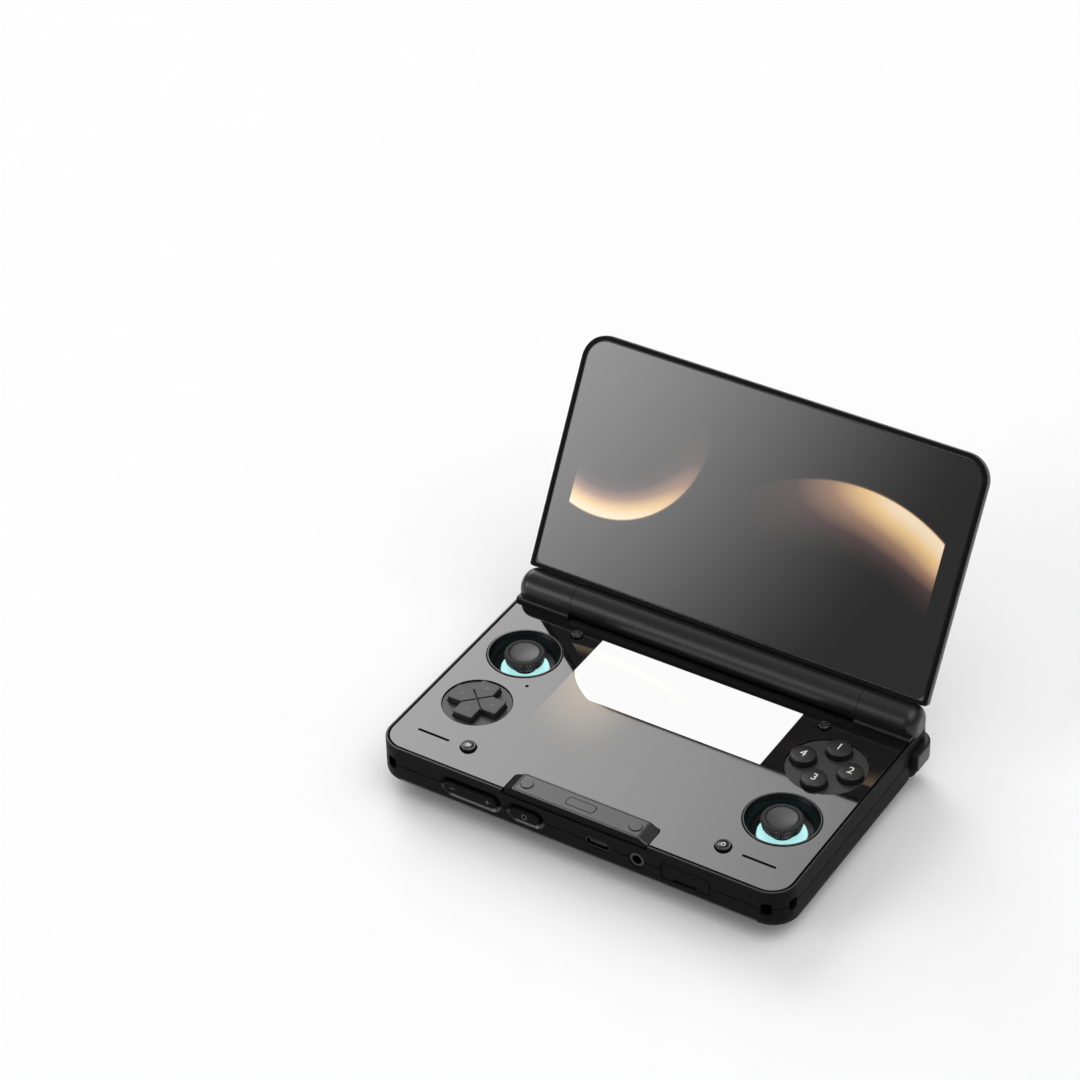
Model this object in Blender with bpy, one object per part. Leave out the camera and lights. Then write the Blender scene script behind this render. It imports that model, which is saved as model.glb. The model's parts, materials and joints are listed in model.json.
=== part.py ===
"""Clamshell handheld game console, open as in its photograph.

Metres, +Z up, +X to the player's right, +Y away from the player. The origin is
under the middle of the whole console, on the plane of its feet. Fixed pieces are
drawn on the deck's own axes: x from the middle, y back from the front rim, z up
from the glass. The lid is drawn on the hinge's axes: x along the hinge, y up the
lid, z out of the lid's face.
"""

import math

import bmesh
import bpy
from mathutils import Matrix

# Fits
GAP = 0.0003
CUT_OVERRUN = 0.003
CORNER_STEPS = 4
ROUND_STEPS = 22
SMALL_STEPS = 14

# Deck layout, worked outward from the small screen and the two rows of controls
SCREEN_HALF = 0.0400
PAD_TO_SCREEN = 0.0030
PAD_TO_SIDE = 0.0046
PAD_TO_FRONT = 0.0191
PAD_TO_REAR = 0.0227
ROW_GAP = 0.0028
WELL_R = 0.0129
DPAD_ARM = 0.0093
DPAD_MARGIN = 0.0025
DPAD_DISC_R = DPAD_ARM + DPAD_MARGIN
FACE_SPREAD = 0.0085
FACE_R = 0.00425
FACE_MARGIN = 0.00095
FACE_DISC_R = FACE_SPREAD + FACE_R + FACE_MARGIN
PAD_X = SCREEN_HALF + PAD_TO_SCREEN + FACE_DISC_R
PAD_FRONT_Y = PAD_TO_FRONT + FACE_DISC_R
PAD_REAR_Y = PAD_FRONT_Y + WELL_R + FACE_DISC_R + ROW_GAP
HALF = PAD_X + FACE_DISC_R + PAD_TO_SIDE
CASE_WIDTH = 2 * HALF
CASE_DEPTH = PAD_REAR_Y + FACE_DISC_R + PAD_TO_REAR

# Case
CASE_BOTTOM = 0.0164
SEAM_DEPTH = 0.0070
FRONT_CORNER = 0.0090
REAR_CORNER = 0.0060
WALL = 0.0018
FLOOR = 0.0016
RIM = 0.0012
SIDE_ROUND = (0.0026, 0.0026)
FRONT_ROUND = (0.0080, 0.0047)
REAR_ROUND = (0.0100, 0.0064)
GLASS_T = 0.0011
PLATE_T = 0.0016

# Hinge and lid
HINGE_IN = 0.0063
HINGE_Y = CASE_DEPTH - HINGE_IN
HINGE_Z = 0.0031
KNUCKLE_R = 0.0061
KNUCKLE_LONG = 0.0209
KNUCKLE_IN = HALF - KNUCKLE_LONG
KNUCKLE_END_ROUND = 0.0040
TROUGH_ROOM = 0.0004
TROUGH_WALL = 0.0014
REAR_LIP_DROP = 0.0008
LID_LEAN = math.radians(29.0)
LID_FACE = 0.0009
LID_LOW = 0.0063
LID_SHORT = 0.0033
LID_TOP = HINGE_Y - LID_SHORT
LID_CORNER = 0.0090
LID_LOW_CORNER = 0.0008
LID_EDGE_ROUND = 0.0045
LID_FACE_BEVEL = 0.0008
LID_BACK_T = 0.0012
LID_WALL = 0.0012
LID_GLASS_INSET = 0.0008
LID_GLASS_T = 0.0010
LID_GLASS_SIDE = 0.0015
LID_SCREEN_T = 0.0016
LID_SCREEN_SIDE = 0.0074
LID_SCREEN_FOOT = 0.0031
LID_SCREEN_HEAD = 0.0019
LID_SCREEN_HALF = HALF - LID_SCREEN_SIDE
LID_SCREEN_LOW = LID_LOW + LID_SCREEN_FOOT
LID_SCREEN_HIGH = LID_TOP - LID_SCREEN_HEAD
CAP_LONG = 0.0057
CAP_IN = KNUCKLE_IN - CAP_LONG
PIN_R = 0.0016
PIN_IN_BARREL = 0.0076
PIN_IN_KNUCKLE = 0.0109
PIN_INNER = KNUCKLE_IN - PIN_IN_BARREL
PIN_OUTER = KNUCKLE_IN + PIN_IN_KNUCKLE

# Controls on the deck
BOWL_WALL_TOP = 0.0004
BOWL_SLOPE = 0.0046
BOWL_LOW_R = WELL_R - BOWL_SLOPE
BOWL_DEPTH = 0.0052
BOWL_LIP = 0.0005
LIGHT_WIDE = 0.0041
LIGHT_IN_R = BOWL_LOW_R - GAP - LIGHT_WIDE
LIGHT_T = 0.0006
STICK_PIVOT = 0.0105
CAP_TOP = 0.0009
CAP_R = 0.0070
CAP_LOW_R = 0.0056
CAP_LOW = 0.0030
STEM_R = 0.0017
DPAD_HALF = 0.0037
DPAD_TOP = 0.0016
DPAD_POST = 0.0018
FACE_TOP = 0.0018
PLATE_SINK = 0.0005
BUTTON_FLANGE = 0.0007
BUTTON_FLANGE_T = 0.0007
SMALL_FRONT_IN = 0.0097
SMALL_FRONT_Y = 0.0124
SMALL_FRONT_R = 0.0028
SMALL_REAR_IN = 0.0100
SMALL_REAR_BACK = 0.0130
SMALL_REAR_R = 0.0021
SMALL_FRONT = (PAD_X - SMALL_FRONT_IN, SMALL_FRONT_Y, SMALL_FRONT_R)
SMALL_REAR = (PAD_X - SMALL_REAR_IN, HINGE_Y - SMALL_REAR_BACK, SMALL_REAR_R)
SMALL_TOP = 0.0010
SLOT_OUT = 0.0033
SLOT_Y = 0.0119
SLOT_HALF = 0.0060
SLOT_TALL = 0.0005
SPEAKER_SLOT = (PAD_X + SLOT_OUT, SLOT_Y, SLOT_HALF, SLOT_TALL)
MIC_IN = 0.0096
MIC_BACK = 0.0154
MIC_R = 0.0005
MIC = (-PAD_X + MIC_IN, PAD_FRONT_Y + MIC_BACK, MIC_R)

# Front ledge
LEDGE_HALF = 0.0265
LEDGE_DEPTH = 0.0092
LEDGE_TO_SCREEN = 0.0040
SCREEN_TO_HINGE = 0.0089
SCREEN_FRONT = LEDGE_DEPTH + LEDGE_TO_SCREEN
SCREEN_REAR = HINGE_Y - SCREEN_TO_HINGE
SCREEN_T = 0.0016
LEDGE_TOP = 0.0018
LEDGE_SLOPE = 0.0016
LEDGE_FRONT = 0.0004
BUMPER = (0.0200, 0.0048, 0.0021)
BADGE_HALF = (0.0050, 0.0017)
BADGE_SINK = 0.0004

# Front face: middle, height, half width and half height of each opening
ROCKER_SHARE = -0.5133
POWER_SHARE = -0.2400
USB_SHARE = 0.1167
JACK_SHARE = 0.3067
CARD_SHARE = 0.5400
FRONT_Z = -0.0071
ROCKER_HALF = (0.0100, 0.00225)
POWER_HALF = (0.0056, 0.0021)
USB_HALF = (0.00445, 0.0015)
JACK_R = 0.0020
CARD_HALF = (0.0085, 0.00285)
ROCKER = (HALF * ROCKER_SHARE, FRONT_Z, *ROCKER_HALF)
POWER_KEY = (HALF * POWER_SHARE, FRONT_Z, *POWER_HALF)
USB = (HALF * USB_SHARE, FRONT_Z, *USB_HALF)
JACK = (HALF * JACK_SHARE, FRONT_Z, JACK_R)
CARD = (HALF * CARD_SHARE, FRONT_Z, *CARD_HALF)
KEY_PROUD = 0.0006
KEY_FLANGE = 0.0008
COVER_T = 0.0016
SOCKET_DEEP = 0.0064
LANYARD = 0.0017
LANYARD_TALL = 0.0022

# Rear corners
SHOULDER_LONG = 0.0220
SHOULDER_PROUD = 0.0025
SHOULDER_BACK = 0.0008
SHOULDER_REACH = 0.0134
SHOULDER_IN = HALF - SHOULDER_LONG
SHOULDER_TOP = 0.0046
SHOULDER_LOW = 0.0113
SHOULDER_OUT = HALF + SHOULDER_PROUD
SHOULDER_REAR = CASE_DEPTH + SHOULDER_BACK
SHOULDER_FRONT = SHOULDER_REAR - SHOULDER_REACH
SHOULDER_CORNER = 0.0065
SHOULDER_AXIS_IN = 0.0036
SHOULDER_AXIS_DEEP = 0.0054
SHOULDER_PRESS = math.radians(2.5)
SHOULDER_T = 0.0036
POCKET_SIDE_IN = 0.0038
POCKET_SIDE_X = HALF - POCKET_SIDE_IN
TRIGGER_LOW = 0.0205
TRIGGER_PROUD = 0.0002
TRIGGER_BACK = 0.0004
TRIGGER_DEEP = 0.0092
TRIGGER_OUT = HALF + TRIGGER_PROUD
TRIGGER_REAR = CASE_DEPTH + TRIGGER_BACK
TRIGGER_FRONT = TRIGGER_REAR - TRIGGER_DEEP
TRIGGER_AXIS = 0.0012
TRIGGER_PRESS = math.radians(12.0)

# Underside
FOOT_BOTTOM = 0.0210
FOOT_R = 0.0042
POD_BOTTOM = 0.0198
POD_IN = 0.0160
POD_X = HALF - POD_IN
FRONT_POD_Y = 0.0200
FRONT_POD_R = 0.0062
GRIP_LONG = 0.0310
GRIP_SIDE = 0.0025
GRIP_DEEP = 0.0286
GRIP_REAR = 0.0041
GRIP_SLOPE_SHARE = 1.6
GRIP = (HALF - GRIP_LONG, HALF - GRIP_SIDE, CASE_DEPTH - GRIP_DEEP, CASE_DEPTH - GRIP_REAR)
REAR_FOOT_BACK = 0.0186
REAR_FOOT_Y = CASE_DEPTH - REAR_FOOT_BACK
SCREW_HEAD_R = 0.0020
SCREW_R = 0.0010
SCREW_SINK = 0.0018
SCREW_SIDE = 0.0082
PILLAR_R = 0.0034
VENT_SLOTS = 7
VENT_SPAN_SHARE = 0.8
VENT_ROUND_SHARE = 0.9
VENT_SLOT_SHARE = 0.28

# Works
FAN_X = -0.0215
FAN_BACK = 0.0286
FAN_HALF = 0.0150
FAN_LOW = 0.0145
FAN_HIGH = 0.0071
FAN = (FAN_X, CASE_DEPTH - FAN_BACK, FAN_HALF, FAN_LOW, FAN_HIGH)
FAN_BORE = 0.0126
FAN_BLADES = 11
FAN_INTAKE_SHARE = 0.8
FAN_HUB_SHARE = 0.38
SINK_AWAY = 0.0065
SINK_LONG = 0.0330
SINK_HALF = 0.0120
SINK = (FAN_X + FAN_HALF + SINK_AWAY, FAN_X + FAN_HALF + SINK_AWAY + SINK_LONG,
        FAN[1] - SINK_HALF, FAN[1] + SINK_HALF)
SINK_FINS = 12
FIN_SHARE = 0.4
SINK_BASE_SHARE = 0.25
BATTERY_SIDE = 0.0157
BATTERY_FRONT = 0.0125
BATTERY_TO_FAN = 0.0005
BATTERY_LOW = 0.0145
BATTERY_HIGH = 0.0076
BATTERY = (PAD_X - BATTERY_SIDE, BATTERY_FRONT, FAN[1] - FAN_HALF - BATTERY_TO_FAN, BATTERY_LOW, BATTERY_HIGH)
BOARD_FRONT = 0.0180
BOARD_BACK = 0.0111
BOARD_LOW = 0.0068
BOARD_HIGH = 0.0060
MAIN_BOARD = (BOARD_FRONT, HINGE_Y - BOARD_BACK, BOARD_LOW, BOARD_HIGH)
FRONT_BOARD_IN = 0.0250
FRONT_BOARD_Y = (0.0024, 0.0118)
FRONT_BOARD_Z = (0.0110, 0.0102)
FRONT_BOARD = (-HALF + FRONT_BOARD_IN, HALF - FRONT_BOARD_IN, *FRONT_BOARD_Y, *FRONT_BOARD_Z)
MAT_T = 0.0006
STICK_BOX_IN = 0.0005
STICK_BOX = BOWL_LOW_R - STICK_BOX_IN
STICK_BOX_TOP = 0.0064
STICK_BOX_LOW = 0.0145
STICK_BOX_WALL = 0.0008
STICK_STEPS = 20

# Places worked out from the sizes
LID_BACK = -KNUCKLE_R
SHOULDER_SWING = (SHOULDER_OUT - SHOULDER_IN - SHOULDER_AXIS_IN) * math.sin(SHOULDER_PRESS)
TRIGGER_SWING = (TRIGGER_LOW - SHOULDER_LOW) * math.sin(TRIGGER_PRESS)
POCKET_SIDE_Y = SHOULDER_FRONT - SHOULDER_SWING - GAP
POCKET_Y = TRIGGER_FRONT - TRIGGER_SWING - GAP
TROUGH_R = KNUCKLE_R + TROUGH_ROOM
PLATE_TOP = -GLASS_T - GAP
PLATE_LOW = PLATE_TOP - PLATE_T
FRONT_MOST = -KEY_PROUD
REAR_MOST = (HINGE_Y + (LID_TOP - LID_EDGE_ROUND) * math.sin(LID_LEAN)
             - (LID_BACK + LID_EDGE_ROUND) * math.cos(LID_LEAN) + LID_EDGE_ROUND)
MID_Y = (FRONT_MOST + REAR_MOST) / 2


def wipe():
    for thing in list(bpy.data.objects):
        bpy.data.objects.remove(thing, do_unlink=True)


def finish(name, colour, rough, metal=0.0):
    """A plain Principled material."""
    made = bpy.data.materials.new(name)
    made.use_nodes = True
    shader = made.node_tree.nodes["Principled BSDF"]
    shader.inputs["Base Color"].default_value = (*colour, 1.0)
    shader.inputs["Roughness"].default_value = rough
    shader.inputs["Metallic"].default_value = metal
    made.diffuse_color = (*colour, 1.0)
    return made


def empty(name, place, parent=None, turn=0.0):
    made = bpy.data.objects.new(name, None)
    bpy.context.scene.collection.objects.link(made)
    made.parent = parent
    made.location = place
    made.rotation_euler = (turn, 0.0, 0.0)
    return made


def solid(name, shapes, material, parent, place=(0.0, 0.0, 0.0)):
    """One named object from one or several closed shapes that lie apart."""
    whole = bmesh.new()
    for shape in shapes:
        mesh = bpy.data.meshes.new("part")
        shape.to_mesh(mesh)
        shape.free()
        whole.from_mesh(mesh)
        bpy.data.meshes.remove(mesh)
    mesh = bpy.data.meshes.new(name)
    whole.to_mesh(mesh)
    whole.free()
    mesh.shade_smooth()
    mesh.set_sharp_from_angle(angle=math.radians(35.0))
    made = bpy.data.objects.new(name, mesh)
    bpy.context.scene.collection.objects.link(made)
    made.parent = parent
    made.location = place
    if material:
        mesh.materials.append(finish(name, *material))
    return made


def cutter(name, shapes, parent, place=(0.0, 0.0, 0.0)):
    made = solid(name, shapes, None, parent, place)
    made.hide_render = True
    made.display_type = "WIRE"
    return made


def combine(target, other, how="DIFFERENCE"):
    change = target.modifiers.new(how.lower(), "BOOLEAN")
    change.operation = how
    change.solver = "EXACT"
    change.object = other


def flipped_outward(shape):
    bmesh.ops.recalc_face_normals(shape, faces=shape.faces)
    return shape


def skin(rings):
    """A closed skin through rings of points of one count."""
    shape = bmesh.new()
    loops = [[shape.verts.new(point) for point in ring] for ring in rings]
    for near, far in zip(loops, loops[1:]):
        for i in range(len(near)):
            j = (i + 1) % len(near)
            shape.faces.new((near[i], near[j], far[j], far[i]))
    shape.faces.new(list(reversed(loops[0])))
    shape.faces.new(loops[-1])
    return flipped_outward(shape)


def upright(outline, low, high):
    """An outline in x and y, drawn up from low to high."""
    return skin([[(x, y, z) for x, y in outline] for z in (low, high)])


def along_x(outline, low, high):
    """An outline in y and z, drawn along x."""
    return skin([[(x, y, z) for y, z in outline] for x in (low, high)])


def along_y(outline, low, high):
    """An outline in x and z, drawn along y."""
    return skin([[(x, y, z) for x, z in outline] for y in (low, high)])


def circle(x, y, radius, steps=ROUND_STEPS):
    turn = 2 * math.pi / steps
    return [(x + radius * math.cos(turn * k), y + radius * math.sin(turn * k)) for k in range(steps)]


def arc(x, y, radius, start, end, steps):
    """Points on a round stretch, from one angle in degrees to another."""
    angles = [math.radians(start + (end - start) * k / steps) for k in range(steps + 1)]
    return [(x + radius * math.cos(a), y + radius * math.sin(a)) for a in angles]


def rounded(x0, x1, y0, y1, low, high=None, steps=CORNER_STEPS):
    """A rectangle with its two low corners and its two high corners rounded."""
    high = low if high is None else high
    return (arc(x0 + low, y0 + low, low, 180, 270, steps)
            + arc(x1 - low, y0 + low, low, 270, 360, steps)
            + arc(x1 - high, y1 - high, high, 0, 90, steps)
            + arc(x0 + high, y1 - high, high, 90, 180, steps))


def block(x0, x1, y0, y1, z0, z1):
    return upright([(x0, y0), (x1, y0), (x1, y1), (x0, y1)], z0, z1)


def disc(x, y, radius, low, high, steps=ROUND_STEPS):
    return upright(circle(x, y, radius, steps), low, high)


def turned(profile, steps=ROUND_STEPS, x=0.0, y=0.0):
    """A solid of revolution about an upright line, from (radius, height) pairs."""
    return skin([[(px, py, z) for px, py in circle(x, y, r, steps)] for r, z in profile])


def turned_ring(profile, steps=ROUND_STEPS, x=0.0, y=0.0):
    """A ring of revolution whose closed section never meets the axis."""
    shape = bmesh.new()
    columns = []
    for k in range(steps):
        angle = 2 * math.pi * k / steps
        columns.append([shape.verts.new((x + r * math.cos(angle), y + r * math.sin(angle), z))
                        for r, z in profile])
    for k in range(steps):
        here, there = columns[k], columns[(k + 1) % steps]
        for i in range(len(profile)):
            j = (i + 1) % len(profile)
            shape.faces.new((here[i], there[i], there[j], here[j]))
    return flipped_outward(shape)


def rolled_in(depth, width, height, full):
    """How far a wall has rolled inward at a depth, where its edge is a quarter ellipse."""
    run = (depth - (full - height)) / height
    if run <= 0:
        return 0.0
    return width * (1 - math.sqrt(max(0.0, 1 - min(run, 1.0) ** 2)))


# Case

def case_ring(depth, inward=0.0, full=CASE_BOTTOM):
    """The case outline at a depth under the glass, drawn in from the outer face."""
    side = inward + rolled_in(depth, *SIDE_ROUND, full)
    front = inward + rolled_in(depth, *FRONT_ROUND, full)
    rear = inward + rolled_in(depth, *REAR_ROUND, full)
    return [(x, y, -depth) for x, y in rounded(
        -HALF + side, HALF - side, front, CASE_DEPTH - rear,
        FRONT_CORNER - inward, REAR_CORNER - inward)]


def case_depths(start, full):
    """Heights of the rings: level to the roll, then closer together round it."""
    turn = full - REAR_ROUND[1]
    shares = (0.0, 0.3, 0.55, 0.75, 0.9, 1.0)
    return [start] + [turn + REAR_ROUND[1] * share for share in shares if turn + REAR_ROUND[1] * share > start]


def pocket_shapes(grow, low, high):
    """The rear corner pockets that hold shoulder buttons and triggers."""
    shapes = []
    for side in (-1, 1):
        inner = SHOULDER_IN - GAP - grow
        rear = CASE_DEPTH + CUT_OVERRUN
        outer = SHOULDER_OUT + CUT_OVERRUN
        outline = [(inner, POCKET_Y - grow), (POCKET_SIDE_X - grow, POCKET_Y - grow),
                   (POCKET_SIDE_X - grow, POCKET_SIDE_Y - grow), (outer, POCKET_SIDE_Y - grow),
                   (outer, rear), (inner, rear)]
        outline = [(side * x, y) for x, y in outline]
        shapes.append(upright(outline, low, high))
    return shapes


def screw_places():
    """Two case screws at the sides, between the wells, and two in front of the rear edge."""
    places = []
    for side in (-1, 1):
        places.append((side * (HALF - SCREW_SIDE), PAD_FRONT_Y + WELL_R + GAP))
        places.append((side * (SHOULDER_IN - 2 * PILLAR_R), CASE_DEPTH - REAR_ROUND[0] - GAP))
    return places


def front_openings(deck):
    """One set of cuts through the front wall, shared by both halves of the case."""
    back = WALL + GAP
    x, z, half, tall = ROCKER
    shapes = [along_y(rounded(x - half - GAP, x + half + GAP, z - tall - GAP, z + tall + GAP, tall),
                      -CUT_OVERRUN, back)]
    x, z, half, tall = POWER_KEY
    shapes.append(along_y(rounded(x - half - GAP, x + half + GAP, z - tall - GAP, z + tall + GAP, tall),
                          -CUT_OVERRUN, back))
    x, z, half, tall = USB
    shapes.append(along_y(rounded(x - half - GAP, x + half + GAP, z - tall - GAP, z + tall + GAP, tall),
                          -CUT_OVERRUN, back))
    x, z, radius = JACK
    shapes.append(along_y(circle(x, z, radius + 3 * GAP, SMALL_STEPS), -CUT_OVERRUN, back))
    x, z, half, tall = CARD
    shapes.append(along_y(rounded(x - half - GAP, x + half + GAP, z - tall - GAP, z + tall + GAP, COVER_T / 2),
                          -CUT_OVERRUN, back))
    for side in (-1, 1):
        x = side * (HALF - FRONT_CORNER / 2 - LANYARD)
        low, high = -SEAM_DEPTH - LANYARD_TALL, -SEAM_DEPTH + LANYARD_TALL
        shapes.append(along_y(rounded(x - LANYARD, x + LANYARD, low, high, LANYARD / 2), -CUT_OVERRUN, 2 * WALL))
        near, far = sorted((side * (HALF - WALL - LANYARD / 2), side * (HALF + CUT_OVERRUN)))
        y = FRONT_CORNER - LANYARD
        shapes.append(along_x(rounded(y - LANYARD, y + LANYARD, low, high, LANYARD / 2), near, far))
    return cutter("front_opening_cut", shapes, deck)


def cavity(deck, name, depths, full):
    """The hollow of one half: the case outline drawn in, clear of pockets and trough."""
    hollow = cutter(name, [skin([case_ring(d, WALL, full) for d in depths])], deck)
    combine(hollow, cutter(name + "_pockets", pocket_shapes(WALL, -CASE_BOTTOM, PLATE_TOP), deck))
    barrel_room = along_x(circle(HINGE_Y, HINGE_Z, TROUGH_R + TROUGH_WALL), -CASE_WIDTH, CASE_WIDTH)
    combine(hollow, cutter(name + "_trough", [barrel_room], deck))
    return hollow


def make_upper_case(deck, openings, black):
    case = solid("upper_case", [upright([(x, y) for x, y, z in case_ring(0.0)],
                                        -SEAM_DEPTH + GAP / 2, 0.0)], black, deck)
    knuckles = []
    for side in (-1, 1):
        rings = []
        last = HALF - KNUCKLE_END_ROUND
        stations = [(KNUCKLE_IN, 0.0), (last, 0.0)]
        for angle in (30, 55, 75, 90):
            turn = math.radians(angle)
            stations.append((last + KNUCKLE_END_ROUND * math.sin(turn), KNUCKLE_END_ROUND * (1 - math.cos(turn))))
        for x, inward in stations:
            radius = KNUCKLE_R - inward
            top = arc(HINGE_Y, HINGE_Z, radius, 0, 180, 12)
            low = -SEAM_DEPTH / 2
            rings.append([(side * x, y, z) for y, z in top]
                         + [(side * x, HINGE_Y - radius, low), (side * x, HINGE_Y + radius, low)])
        knuckles.append(skin(rings))
    combine(case, cutter("knuckle_form", knuckles, deck), "UNION")
    trough = [along_x(circle(HINGE_Y, HINGE_Z, TROUGH_R), -KNUCKLE_IN, KNUCKLE_IN),
              block(-KNUCKLE_IN, KNUCKLE_IN, HINGE_Y + KNUCKLE_R / 2, CASE_DEPTH + CUT_OVERRUN,
                    -REAR_LIP_DROP, CUT_OVERRUN)]
    for shape in trough:
        combine(case, cutter("trough_cut", [shape], deck))
    rim_corner = FRONT_CORNER - RIM
    glass_pocket = rounded(-HALF + RIM, HALF - RIM, RIM, HINGE_Y - KNUCKLE_R / 2, rim_corner, WALL)
    pocket = cutter("glass_pocket_cut", [upright(glass_pocket, PLATE_TOP, CUT_OVERRUN)], deck)
    combine(pocket, cutter("glass_pocket_keep", [along_x(circle(HINGE_Y, HINGE_Z, KNUCKLE_R + GAP),
                                                         -CASE_WIDTH, CASE_WIDTH)], deck))
    combine(case, pocket)
    combine(case, cavity(deck, "upper_cavity_cut", [-PLATE_LOW, SEAM_DEPTH + CUT_OVERRUN], CASE_BOTTOM))
    cuts = []
    top, low = CUT_OVERRUN, PLATE_LOW - CUT_OVERRUN / 4
    for x, y in ((-PAD_X, PAD_REAR_Y), (PAD_X, PAD_FRONT_Y)):
        cuts.append(disc(x, y, WELL_R, low, top))
    cuts.append(disc(-PAD_X, PAD_FRONT_Y, DPAD_DISC_R, low, top))
    cuts.append(disc(PAD_X, PAD_REAR_Y, FACE_DISC_R, low, top))
    for x, y, radius in (SMALL_FRONT, SMALL_REAR):
        for side in (-1, 1):
            cuts.append(disc(side * x, y, radius + GAP, low, top, SMALL_STEPS))
    cuts.append(block(-SCREEN_HALF - GAP, SCREEN_HALF + GAP, SCREEN_FRONT - GAP, SCREEN_REAR + GAP, low, top))
    x, y, half, tall = SPEAKER_SLOT
    for side in (-1, 1):
        cuts.append(upright(rounded(side * x - half, side * x + half, y - tall, y + tall, tall * 0.9, steps=3),
                            low, top))
    x, y, radius = MIC
    cuts.append(disc(x, y, radius, low, top, 12))
    cuts.append(upright(rounded(-LEDGE_HALF - GAP, LEDGE_HALF + GAP, -CUT_OVERRUN, RIM + GAP, GAP),
                        PLATE_TOP, CUT_OVERRUN))
    combine(case, cutter("deck_cut", cuts, deck))
    combine(case, cutter("upper_pocket_cut", pocket_shapes(0.0, -CASE_BOTTOM, -SHOULDER_TOP + GAP), deck))
    combine(case, openings)
    bores = []
    for side in (-1, 1):
        near, far = sorted((side * (KNUCKLE_IN - CUT_OVERRUN), side * (PIN_OUTER + GAP)))
        bores.append(along_x(circle(HINGE_Y, HINGE_Z, PIN_R + GAP, SMALL_STEPS), near, far))
    combine(case, cutter("knuckle_bore", bores, deck))
    return case


def make_lower_case(deck, openings, black):
    start = SEAM_DEPTH + GAP / 2
    case = solid("lower_case", [skin([case_ring(d) for d in case_depths(start, CASE_BOTTOM)])], black, deck)
    pods = []
    for side in (-1, 1):
        x0, x1, y0, y1 = GRIP
        rings = []
        top = -CASE_BOTTOM + 3 * FLOOR
        middle = (-CASE_BOTTOM - POD_BOTTOM) / 2
        shares = ((0.0, top), (0.0, -CASE_BOTTOM + FLOOR), (0.25, -CASE_BOTTOM), (0.6, middle), (1.0, -POD_BOTTOM))
        for share, z in shares:
            inward = share * (POD_BOTTOM - CASE_BOTTOM) * GRIP_SLOPE_SHARE
            outline = rounded(x0 + inward, x1 - inward, y0 + inward, y1 - inward, FRONT_POD_R)
            rings.append([(side * x, y, z) for x, y in outline])
        pods.append(skin(rings))
        slope = (POD_BOTTOM - CASE_BOTTOM) / 2
        pods.append(turned([(FRONT_POD_R + slope, -CASE_BOTTOM + FLOOR), (FRONT_POD_R + slope, -CASE_BOTTOM),
                            (FRONT_POD_R, -POD_BOTTOM + slope / 2), (FRONT_POD_R - slope / 3, -POD_BOTTOM)],
                           ROUND_STEPS, side * POD_X, FRONT_POD_Y))
    combine(case, cutter("pod_form", pods, deck), "UNION")
    inner_bottom = CASE_BOTTOM - FLOOR
    hollow = cavity(deck, "lower_cavity_cut", case_depths(start - CUT_OVERRUN, inner_bottom), inner_bottom)
    pillars = [disc(x, y, PILLAR_R, -CASE_BOTTOM, 0.0, SMALL_STEPS) for x, y in screw_places()]
    combine(hollow, cutter("pillar_keep", pillars, deck))
    combine(case, hollow)
    combine(case, cutter("lower_pocket_cut", pocket_shapes(0.0, -POD_BOTTOM - CUT_OVERRUN, CUT_OVERRUN), deck))
    combine(case, openings)
    cuts = []
    for x, y in screw_places():
        cuts.append(turned([(SCREW_HEAD_R + GAP, -CASE_BOTTOM - CUT_OVERRUN),
                            (SCREW_HEAD_R + GAP, -CASE_BOTTOM + SCREW_SINK),
                            (SCREW_R + GAP, -CASE_BOTTOM + SCREW_SINK), (SCREW_R + GAP, CUT_OVERRUN)],
                           SMALL_STEPS, x, y))
    pitch = 2 * FAN_BORE * VENT_SPAN_SHARE / VENT_SLOTS
    slot = pitch * VENT_SLOT_SHARE
    for k in range(VENT_SLOTS):
        y = FAN[1] + (k - (VENT_SLOTS - 1) / 2) * pitch
        half = math.sqrt((FAN_BORE * VENT_ROUND_SHARE) ** 2 - (y - FAN[1]) ** 2)
        cuts.append(upright(rounded(FAN[0] - half, FAN[0] + half, y - slot, y + slot, slot, steps=2),
                            -CASE_BOTTOM - CUT_OVERRUN, -CASE_BOTTOM + FLOOR + GAP))
    combine(case, cutter("underside_cut", cuts, deck))
    return case


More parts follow.
